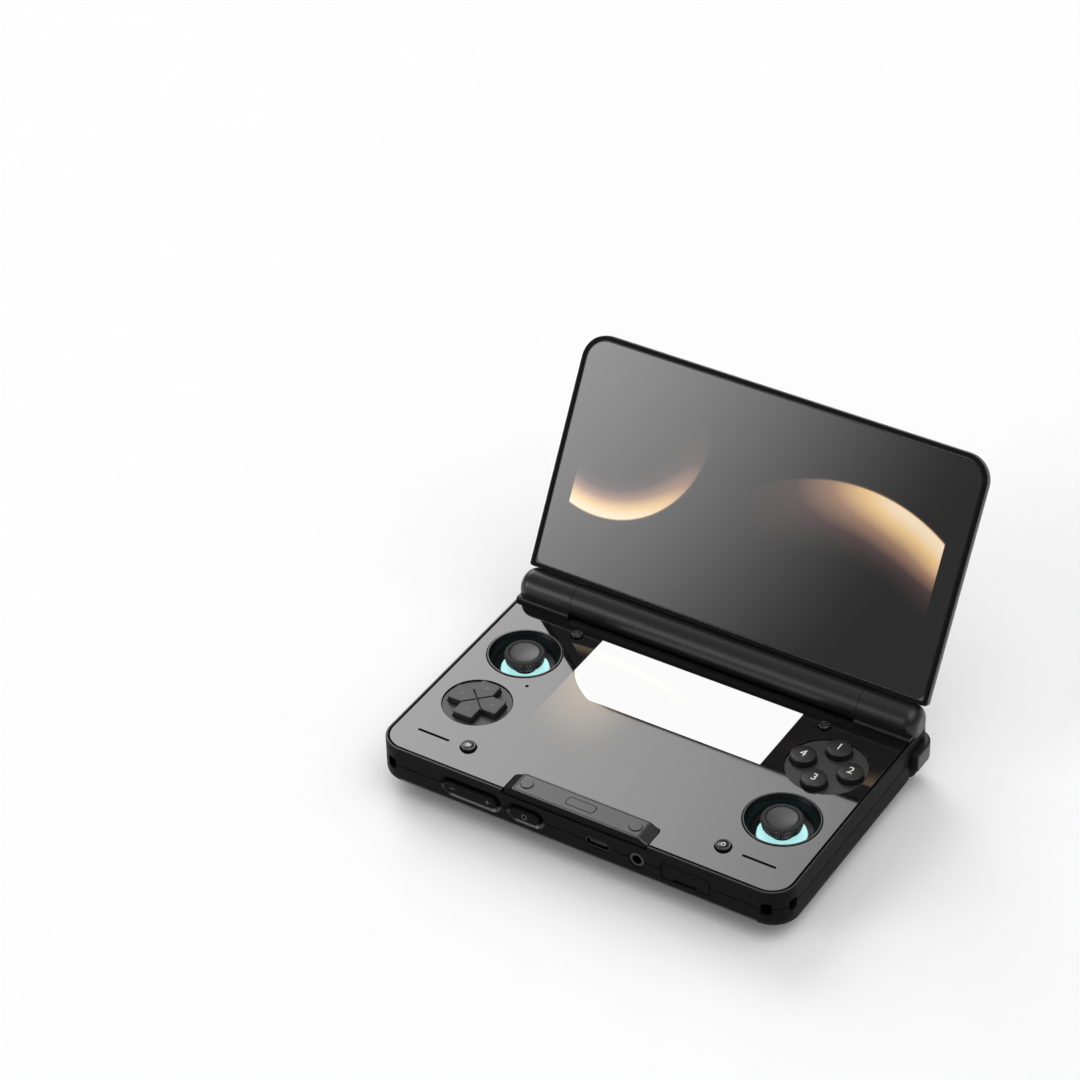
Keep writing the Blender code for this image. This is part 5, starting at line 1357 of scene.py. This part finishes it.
def build_face_buttons():
    x, y, radius, low, high = round_of("face_button_plate")
    at = DECK @ Matrix.Translation((x, y, 0))
    holes = []
    numbers = {"top": "1", "right": "2", "bottom": "3", "left": "4"}
    for word in numbers:
        bx, by, wide, base, top = round_of("face_button_" + word)
        holes.append(disc(bx - x, by - y, wide - FLANGE + GAP * 0.7, low - OVERRUN, high + OVERRUN, FINE))
    plate = combined(round_plate("face_button_plate"), [together(holes)])
    plate = softened(plate, sizes().edge * 0.6)
    piece("face_button_disc", plate, at, "base", plate_grey(), ["face_button_plate"])
    for word, digit in numbers.items():
        node = "face_button_" + word
        bx, by, wide, base, top = round_of(node)
        r = wide - FLANGE
        edge = 0.00045
        profile = [(wide, base), (wide, base + FLANGE), (r, base + FLANGE), (r, top - GAP / 2 - edge)]
        profile += [(r - edge * (1 - math.cos(t)), top - GAP / 2 - edge * (1 - math.sin(t)))
                    for t in (0.3, 0.6, 0.9, 1.2, math.pi / 2)]
        profile += [(r * share, top - GAP / 2 * share ** 2) for share in (0.7, 0.4, 0.1)]
        piece(node + "_cap", turned(profile, FINE, bx, by), DECK, node, key_black(), [node])
        shape = numeral(digit, sizes().numeral)
        bmesh.ops.translate(shape, vec=(bx, by, top + 0.00001), verts=shape.verts)
        piece(node + "_numeral", shape, DECK, node, mark_print())


def build_small_buttons():
    """Round caps; the marks are drawn for a cap of one radius and scaled to each."""
    reach, thick, rise, drawn_for = 0.0008, 0.00014, 0.00004, 0.0028
    bar = [(-reach, -thick), (reach, -thick), (reach, thick), (-reach, thick)]
    for name, side in SIDES:
        for word in ("front", "rear"):
            node = f"{name}_{word}_button"
            x, y, wide, base, top = round_of(node)
            r = small_radius(wide)
            profile = [(wide, base), (wide, base + FLANGE), (r, base + FLANGE), (r, top - 0.0004)]
            profile += [(r - 0.00035 * (1 - math.cos(t)), top - 0.0004 + 0.00035 * math.sin(t))
                        for t in (0.4, 0.8, 1.2, math.pi / 2)]
            profile += [(r * 0.72, top - 0.00014), (r * 0.64, top - 0.00004), (r * 0.3, top - 0.00001),
                        (r * 0.05, top)]
            cap = turned(profile, MIDDLING, x, y)
            piece(node + "_cap", cap, DECK, node, button_black(), [node])
            if word == "front" and side > 0:
                mark = turned_ring([(0.00055, 0), (reach, 0), (reach, rise), (0.00055, rise)], 32)
            elif word == "front":
                mark = together([upright([(px, py + shift) for px, py in bar], 0, rise)
                                 for shift in (-0.0005, 0.0, 0.0005)])
            else:
                mark = upright(bar, 0, rise)
            bmesh.ops.scale(mark, vec=(r / drawn_for, r / drawn_for, 1), verts=mark.verts)
            bmesh.ops.translate(mark, vec=(x, y, top - rise / 2), verts=mark.verts)
            ink = mark_print() if word == "front" else dim_print()
            piece(node + "_mark", mark, DECK, node, ink)


# Front face

def on_front(node):
    """Half width, half height, depth and stand of a node of the front face, and the way to its place
    for a shape that is drawn flat and faces up."""
    low, high = on_deck(node)
    middle = Matrix.Translation(((low.x + high.x) / 2, 0, (low.z + high.z) / 2))
    at = DECK @ middle @ Matrix.Rotation(math.pi / 2, 4, "X")
    return (high.x - low.x) / 2, (high.z - low.z) / 2, -high.y, -low.y, at


def build_front_keys():
    arm, line, rise = 0.0009, 0.00011, 0.00003
    for node in KEYS:
        wide, tall, back, proud, at = on_front(node)

        def outline(inward):
            return rounded(-wide + KEY_FLANGE, wide - KEY_FLANGE, -tall + KEY_FLANGE, tall - KEY_FLANGE,
                           tall - KEY_FLANGE, inward=inward)

        def base_outline(inward):
            return rounded(-wide, wide, -tall, tall, tall * 0.9, inward=inward)

        cap = moulded(outline, back + KEY_FLANGE / 2, proud, top=0.0004)
        foot = moulded(base_outline, back, back + KEY_FLANGE)
        shape = combined(cap, [foot], "UNION")
        piece(node + "_cap", shape, at, node, case_black(), [node])
        marks = []
        low, high = proud - rise, proud + rise
        if node == "volume_rocker":
            for spot, crossed in ((-wide * 0.62, False), (wide * 0.62, True)):
                marks.append(block(spot - arm, spot + arm, -line, line, low, high))
                if crossed:
                    marks.append(block(spot - line, spot + line, -arm, arm, low, high + 0.000002))
        else:
            ring = [(0.00075, low), (0.00095, low), (0.00095, high), (0.00075, high)]
            marks.append(turned_ring(ring, 40))
        piece(node + "_marks", together(marks), at, node, dim_print())


def build_card_cover():
    """The flap, with a scoop for a fingernail at its lower edge."""
    wide, tall, back, proud, at = on_front("card_cover")

    def outline(inward):
        return rounded(-wide, wide, -tall, tall, 0.0006, inward=inward)

    shape = moulded(outline, back, proud, top=0.00012, steps=2)
    scoop = along_x(circle(-tall, proud + 0.0002, 0.0010, MIDDLING), -wide * 0.5, wide * 0.5)
    shape = softened(combined(shape, [scoop]), sizes().edge * 0.6)
    piece("card_flap", shape, at, "card_cover", case_black(), ["card_cover"])


# Rear corners

def build_shoulders():
    for name, side in SIDES:
        low, high = on_deck(name + "_shoulder_button")
        near, far = reach_of(name + "_shoulder_button")
        thick, corner, lip, edge = 0.0036, 0.0065, 0.0005, 0.0007
        rear, front = high.y, low.y
        outer = arc(far - lip, front + lip, lip, 270, 360, 4)
        outer += arc(far - corner, rear - corner, corner, 0, 90, 20)
        outer += arc(near + lip, rear - lip, lip, 90, 180, 4)
        inner = [(near, rear - thick * 1.6), (far - 1.9 * thick, rear - thick * 1.6)]
        inner += quarter(far - thick, rear - thick * 2.2, far - 1.9 * thick, rear - thick * 1.6, 6)[::-1][1:]
        inner += [(far - thick * 0.85, front)]
        outline = inner + outer
        height = (high.z - low.z) / 2
        middle = (high.z + low.z) / 2
        rings = []
        turns = [math.pi / 2 * k / 4 for k in range(5)]
        levels = [(edge * (1 - math.sin(t)), -height + edge * (1 - math.cos(t))) for t in turns]
        levels += [(inward, -z) for inward, z in reversed(levels)]
        cx = (near + far) / 2
        for inward, z in levels:
            shrink_x = 1 - inward / ((far - near) / 2)
            ring = []
            for px, py in outline:
                ry = py - inward if py > rear - corner else py
                ring.append((side * (cx + (px - cx) * shrink_x), ry, middle + z))
            rings.append(ring)
        node = name + "_shoulder_button"
        piece(name + "_shoulder_key", skin(rings), DECK, node, key_black(), [node])


def build_triggers():
    for name, side in SIDES:
        low, high = on_deck(name + "_trigger")
        near, far = reach_of(name + "_trigger")
        top, bottom, front, rear = high.z, low.z, low.y, high.y
        drop, wide, deep = top - bottom, far - near, rear - front
        view = [(near, top)] + quarter(near, bottom + drop * 0.45, near + wide * 0.35, bottom)
        view += quarter(far, bottom + drop * 0.75, near + wide * 0.62, bottom)[::-1] + [(far, top)]
        view = [(side * px, pz) for px, pz in view]
        shape = along_y(view, front - OVERRUN, rear + OVERRUN)
        chamfer = 0.0012
        profile = [(front + chamfer, top), (front, top - chamfer), (front, bottom + drop * 0.5),
                   (front + deep * 0.1, bottom)]
        profile += quarter(rear, bottom + drop * 0.7, rear - deep * 0.75, bottom)[::-1] + [(rear, top)]
        edges = sorted((side * (near - OVERRUN), side * (far + OVERRUN)))
        shape = combined(shape, [along_x(profile, *edges)], "INTERSECT")
        shape = softened(shape, 0.0009, 4, 50.0)
        piece(name + "_trigger_key", shape, DECK, name + "_trigger", key_black(),
              [name + "_trigger"])


def build_feet():
    for name, side in SIDES:
        for word in ("front", "rear"):
            node = f"{name}_{word}_foot"
            x, y, radius, low, high = round_of(node)
            profile = [(radius * 0.5, low + 0.0001), (radius - 0.0006, low), (radius - 0.0002, low + 0.0001),
                       (radius, low + 0.0004), (radius, high)]
            pad = turned(profile, MIDDLING, x, y)
            piece(node + "_pad", pad, DECK, "base", foot_rubber(), [node])


# Lid

def lid_outline(inward):
    s = sizes()
    return rounded(-HALF + inward, HALF - inward, s.lid_low, s.lid_top - inward, LID_FOOT,
                   s.lid_corner - inward * 0.8)


def barrel_section():
    """The barrel with the web that carries it to the lid."""
    s = sizes()
    back, sill = -s.knuckle, s.lid_low + LID_SILL
    web = back + 0.0031
    start = math.degrees(math.asin(web / s.knuckle))
    return [(sill, back), (sill, web)] + arc(0.0, 0.0, s.knuckle, start, 270, 64)


def barrel_grooves():
    """Fine lines in the rear half of the barrel and the lid's back that set off the barrel's end caps."""
    s = sizes()
    back, line, deep, cap_in, cap_tall = -s.knuckle, 0.0001, 0.0002, 0.0484, 0.0120
    outer, inner = s.knuckle + GAP, s.knuckle - deep
    grooves = []
    for name, side in SIDES:
        groove = turned_ring([(inner, -line), (outer, -line), (outer, line), (inner, line)])
        bmesh.ops.rotate(groove, cent=(0, 0, 0), matrix=Matrix.Rotation(math.pi / 2, 3, "Y"),
                         verts=groove.verts)
        bmesh.ops.translate(groove, vec=(side * cap_in, 0, 0), verts=groove.verts)
        front = block(-HALF, HALF, -2 * s.knuckle, 2 * s.knuckle, -s.knuckle / 2, 2 * s.knuckle)
        grooves.append(combined(groove, [front]))
        near, far = sorted((side * (cap_in - line), side * (cap_in + line)))
        grooves.append(block(near, far, 0.0, cap_tall, back - OVERRUN, back + deep))
    for name, side in SIDES:
        near, far = sorted((side * cap_in, side * s.knuckle_in))
        grooves.append(block(near, far, cap_tall - line, cap_tall + line, back - OVERRUN, back + deep))
    return grooves


def build_lid():
    s = sizes()
    back = -s.knuckle
    rings = []
    for k in range(11):
        turn = math.pi / 2 * k / 10
        inward = s.lid_edge * (1 - math.sin(turn))
        rings.append([(x, y, back + s.lid_edge * (1 - math.cos(turn))) for x, y in lid_outline(inward)])
    bevel = 0.0008
    rings.append([(x, y, s.lid_face - bevel) for x, y in lid_outline(0.0)])
    rings.append([(x, y, s.lid_face - bevel * 0.3) for x, y in lid_outline(bevel * 0.3)])
    rings.append([(x, y, s.lid_face) for x, y in lid_outline(bevel)])
    barrel = along_x(barrel_section(), -s.knuckle_in + GAP / 2, s.knuckle_in - GAP / 2)
    shape = combined(skin(rings), [barrel], "UNION")
    inset, low = 0.0015, s.lid_low + LID_SILL

    def trim(inward):
        return rounded(-HALF + inset, HALF - inset, low, s.lid_top - inset, LID_FOOT, s.lid_corner - inset,
                       inward=inward)

    seat = s.lid_face - GLASS_SUNK - PANE - GAP - SCREEN - GAP
    deep = rounded(-HALF + s.lid_edge, HALF - s.lid_edge, low, s.lid_top - s.lid_edge, LID_FOOT,
                   s.lid_corner - s.lid_edge + GAP)
    hollow = skin([[(x, y, back + LID_SILL) for x, y in deep], [(x, y, seat) for x, y in trim(0.0)],
                   [(x, y, s.lid_face + OVERRUN) for x, y in trim(0.0)]])
    bores = []
    for name, side in SIDES:
        near, far = sorted((side * (reach_of(name + "_hinge_pin")[0] - GAP), side * WIDE))
        bores.append(along_x(circle(0.0, 0.0, pin_radius(name) + GAP, MIDDLING), near, far))
    shape = combined(shape, [hollow, together(bores)] + barrel_grooves())
    shape = softened(shape, s.edge * 0.8)
    piece("lid_shell", shape, LID, "lid", lid_black_with_painted_reflection(), ["lid_back_cover"])
    side, top = 0.00185, s.lid_top - 0.0019

    def outline(inward):
        return rounded(-HALF + side, HALF - side, low + GAP, top, 0.0024, s.lid_corner - side, inward=inward)

    face = s.lid_face - GLASS_SUNK
    pane = moulded(outline, face - PANE, face, top=0.00015, steps=3)
    piece("lid_window", pane, LID, "lid", lid_glass_finish(), ["lid_glass"])
    border = combined(upright(trim(0.00005), face - 0.0006, face),
                      [upright(outline(-0.00005), face - OVERRUN, face + OVERRUN)])
    piece("lid_window_seal", border, LID, "lid", seal_grey())


# Works that show only through openings or with the case apart

INNER = {
    "socket": ("usb_port", "headphone_jack"),
    "steel": ("card_reader", "left_stick_housing", "right_stick_housing", "left_hinge_pin", "right_hinge_pin"),
    "nylon": ("left_stick_carrier", "right_stick_carrier", "left_stick_yoke", "right_stick_yoke", "dpad_pivot"),
    "board": ("main_board", "front_board"),
    "mat": ("dpad_mat", "face_button_mat"),
    "film": ("battery",),
    "fins": ("heat_sink",),
    "black": ("fan_housing", "fan_rotor", "left_speaker", "right_speaker", "lid_bezel"),
    "screen": ("lower_display", "upper_display"),
}


def build_works():
    """Gives the CAD's own inner pieces their finishes."""
    kinds = {"socket": button_black(), "steel": bright_steel(), "nylon": pale_nylon(),
             "board": board_green(), "mat": mat_grey(), "film": battery_film(), "fins": fin_aluminium(),
             "black": inner_black(), "screen": inner_black()}
    for kind, nodes in INNER.items():
        for node in nodes:
            data = frame["nodes"][node].data
            data.materials.clear()
            data.materials.append(kinds[kind])


# Studio

def sky_patch(tree, direction, azimuth, elevation, inner, outer, strength):
    """A soft bright patch of the studio's sky."""
    a, e = math.radians(azimuth), math.radians(elevation)
    centre = (math.sin(a) * math.cos(e), math.cos(a) * math.cos(e), math.sin(e))
    dot = add(tree, "ShaderNodeVectorMath", operation="DOT_PRODUCT")
    tree.links.new(direction, dot.inputs[0])
    dot.inputs[1].default_value = centre
    return eased(tree, dot.outputs["Value"], math.cos(math.radians(outer)), math.cos(math.radians(inner)),
                 0.0, strength)


def build_stage():
    scene = bpy.context.scene
    scene.view_settings.view_transform = "Standard"
    data = bpy.data.cameras.new("camera")
    data.sensor_width = 36.0
    data.lens = CAMERA_LENS
    data.clip_start, data.clip_end = 0.05, 20.0
    camera = bpy.data.objects.new("camera", data)
    scene.collection.objects.link(camera)
    camera.location = CAMERA_PLACE
    camera.rotation_euler = [math.radians(turn) for turn in CAMERA_TURN]
    scene.camera = camera
    floor = as_object("studio_floor", skin([[(x, y, z) for x, y in rounded(-6, 6, -6, 6, 1.0)]
                                            for z in (-0.02, 0.0)]))
    floor.data.materials.append(finish("floor_paint", colours().floor, 0.9, gloss=0.1, grain=40.0, depth=0.0,
                                       shade=0.02))
    world = bpy.data.worlds.new("studio")
    scene.world = world
    world.use_nodes = True
    tree = world.node_tree
    back = tree.nodes["Background"]
    direction = add(tree, "ShaderNodeTexCoord").outputs["Generated"]
    behind = sky_patch(tree, direction, -50.0, 35.0, 4.0, 27.0, 4.0)
    front = sky_patch(tree, direction, -140.0, 20.0, 9.0, 18.6, 4.5)
    above = sky_patch(tree, direction, 100.0, 70.0, 12.0, 42.0, 1.9)
    total = sum_of(tree, "ADD", sum_of(tree, "ADD", behind, front), sum_of(tree, "ADD", above, 0.32))
    tree.links.new(total, back.inputs["Strength"])
    back.inputs["Color"].default_value = (1.0, 1.0, 1.0, 1.0)


# Operators, panel and registration

class CONSOLE_OT_stage(bpy.types.Operator):
    """Camera, floor and sky"""

    bl_idname = "console.stage"
    bl_label = "Studio"
    bl_options = {"REGISTER", "UNDO"}

    def execute(self, context):
        build_stage()
        return {"FINISHED"}


class CONSOLE_OT_lower_case(bpy.types.Operator):
    """Lower shell with grips, vents and screws"""

    bl_idname = "console.lower_case"
    bl_label = "Lower case"
    bl_options = {"REGISTER", "UNDO"}

    def execute(self, context):
        build_lower_case()
        return {"FINISHED"}


class CONSOLE_OT_upper_case(bpy.types.Operator):
    """Upper shell with the hinge knuckles"""

    bl_idname = "console.upper_case"
    bl_label = "Upper case"
    bl_options = {"REGISTER", "UNDO"}

    def execute(self, context):
        build_upper_case()
        return {"FINISHED"}


class CONSOLE_OT_deck_glass(bpy.types.Operator):
    """Glass of the deck with the small picture, and the bars behind the speaker slots"""

    bl_idname = "console.deck_glass"
    bl_label = "Deck glass"
    bl_options = {"REGISTER", "UNDO"}

    def execute(self, context):
        build_deck_glass()
        return {"FINISHED"}


class CONSOLE_OT_front_ledge(bpy.types.Operator):
    """Ledge with its pads and bare badge"""

    bl_idname = "console.front_ledge"
    bl_label = "Front ledge"
    bl_options = {"REGISTER", "UNDO"}

    def execute(self, context):
        build_front_ledge()
        return {"FINISHED"}


class CONSOLE_OT_wells(bpy.types.Operator):
    """Bowls and light rings round the sticks"""

    bl_idname = "console.wells"
    bl_label = "Stick wells"
    bl_options = {"REGISTER", "UNDO"}

    def execute(self, context):
        build_wells()
        return {"FINISHED"}


class CONSOLE_OT_sticks(bpy.types.Operator):
    """Thumb sticks with their pads and knurl"""

    bl_idname = "console.sticks"
    bl_label = "Thumb sticks"
    bl_options = {"REGISTER", "UNDO"}

    def execute(self, context):
        build_sticks()
        return {"FINISHED"}


class CONSOLE_OT_dpad(bpy.types.Operator):
    """Round plate, cross pad and its marks"""

    bl_idname = "console.dpad"
    bl_label = "Cross pad"
    bl_options = {"REGISTER", "UNDO"}

    def execute(self, context):
        build_dpad()
        return {"FINISHED"}


class CONSOLE_OT_face_buttons(bpy.types.Operator):
    """Round plate, four buttons and their numerals"""

    bl_idname = "console.face_buttons"
    bl_label = "Face buttons"
    bl_options = {"REGISTER", "UNDO"}

    def execute(self, context):
        build_face_buttons()
        return {"FINISHED"}


class CONSOLE_OT_small_buttons(bpy.types.Operator):
    """Four small buttons and their marks"""

    bl_idname = "console.small_buttons"
    bl_label = "Small buttons"
    bl_options = {"REGISTER", "UNDO"}

    def execute(self, context):
        build_small_buttons()
        return {"FINISHED"}


class CONSOLE_OT_front_keys(bpy.types.Operator):
    """Volume rocker and power key"""

    bl_idname = "console.front_keys"
    bl_label = "Front keys"
    bl_options = {"REGISTER", "UNDO"}

    def execute(self, context):
        build_front_keys()
        return {"FINISHED"}


class CONSOLE_OT_card_cover(bpy.types.Operator):
    """Hinged cover of the card slot"""

    bl_idname = "console.card_cover"
    bl_label = "Card cover"
    bl_options = {"REGISTER", "UNDO"}

    def execute(self, context):
        build_card_cover()
        return {"FINISHED"}


class CONSOLE_OT_shoulders(bpy.types.Operator):
    """Keys that wrap the rear corners"""

    bl_idname = "console.shoulders"
    bl_label = "Shoulder buttons"
    bl_options = {"REGISTER", "UNDO"}

    def execute(self, context):
        build_shoulders()
        return {"FINISHED"}


class CONSOLE_OT_triggers(bpy.types.Operator):
    """Rounded lobes under the shoulder buttons"""

    bl_idname = "console.triggers"
    bl_label = "Triggers"
    bl_options = {"REGISTER", "UNDO"}

    def execute(self, context):
        build_triggers()
        return {"FINISHED"}


class CONSOLE_OT_feet(bpy.types.Operator):
    """Four rubber feet"""

    bl_idname = "console.feet"
    bl_label = "Feet"
    bl_options = {"REGISTER", "UNDO"}

    def execute(self, context):
        build_feet()
        return {"FINISHED"}


class CONSOLE_OT_lid(bpy.types.Operator):
    """Lid shell, barrel and glass with the wide picture"""

    bl_idname = "console.lid"
    bl_label = "Lid"
    bl_options = {"REGISTER", "UNDO"}

    def execute(self, context):
        build_lid()
        return {"FINISHED"}


class CONSOLE_OT_works(bpy.types.Operator):
    """Finishes of the pieces inside"""

    bl_idname = "console.works"
    bl_label = "Works"
    bl_options = {"REGISTER", "UNDO"}

    def execute(self, context):
        build_works()
        return {"FINISHED"}


OPERATORS = [
    CONSOLE_OT_stage, CONSOLE_OT_lower_case, CONSOLE_OT_upper_case, CONSOLE_OT_deck_glass,
    CONSOLE_OT_front_ledge, CONSOLE_OT_wells, CONSOLE_OT_sticks, CONSOLE_OT_dpad, CONSOLE_OT_face_buttons,
    CONSOLE_OT_small_buttons, CONSOLE_OT_front_keys, CONSOLE_OT_card_cover, CONSOLE_OT_shoulders,
    CONSOLE_OT_triggers, CONSOLE_OT_feet, CONSOLE_OT_lid, CONSOLE_OT_works,
]


class CONSOLE_PT_panel(bpy.types.Panel):
    """Lists the pieces of the console."""

    bl_label = "Console"
    bl_idname = "CONSOLE_PT_panel"
    bl_space_type = "VIEW_3D"
    bl_region_type = "UI"
    bl_category = "Console"

    def draw(self, context):
        for kind in OPERATORS:
            self.layout.operator(kind.bl_idname)
        for group in (context.scene.console_sizes, context.scene.console_colours):
            for name in group.__annotations__:
                self.layout.prop(group, name)


CLASSES = [ConsoleSizes, ConsoleColours, *OPERATORS, CONSOLE_PT_panel]


def register():
    for kind in CLASSES:
        bpy.utils.register_class(kind)
    bpy.types.Scene.console_sizes = bpy.props.PointerProperty(type=ConsoleSizes)
    bpy.types.Scene.console_colours = bpy.props.PointerProperty(type=ConsoleColours)


def unregister():
    del bpy.types.Scene.console_colours
    del bpy.types.Scene.console_sizes
    for kind in reversed(CLASSES):
        bpy.utils.unregister_class(kind)


def main():
    register()
    for kind in OPERATORS:
        getattr(bpy.ops.console, kind.bl_idname.split(".")[1])()


if __name__ == "__main__":
    main()
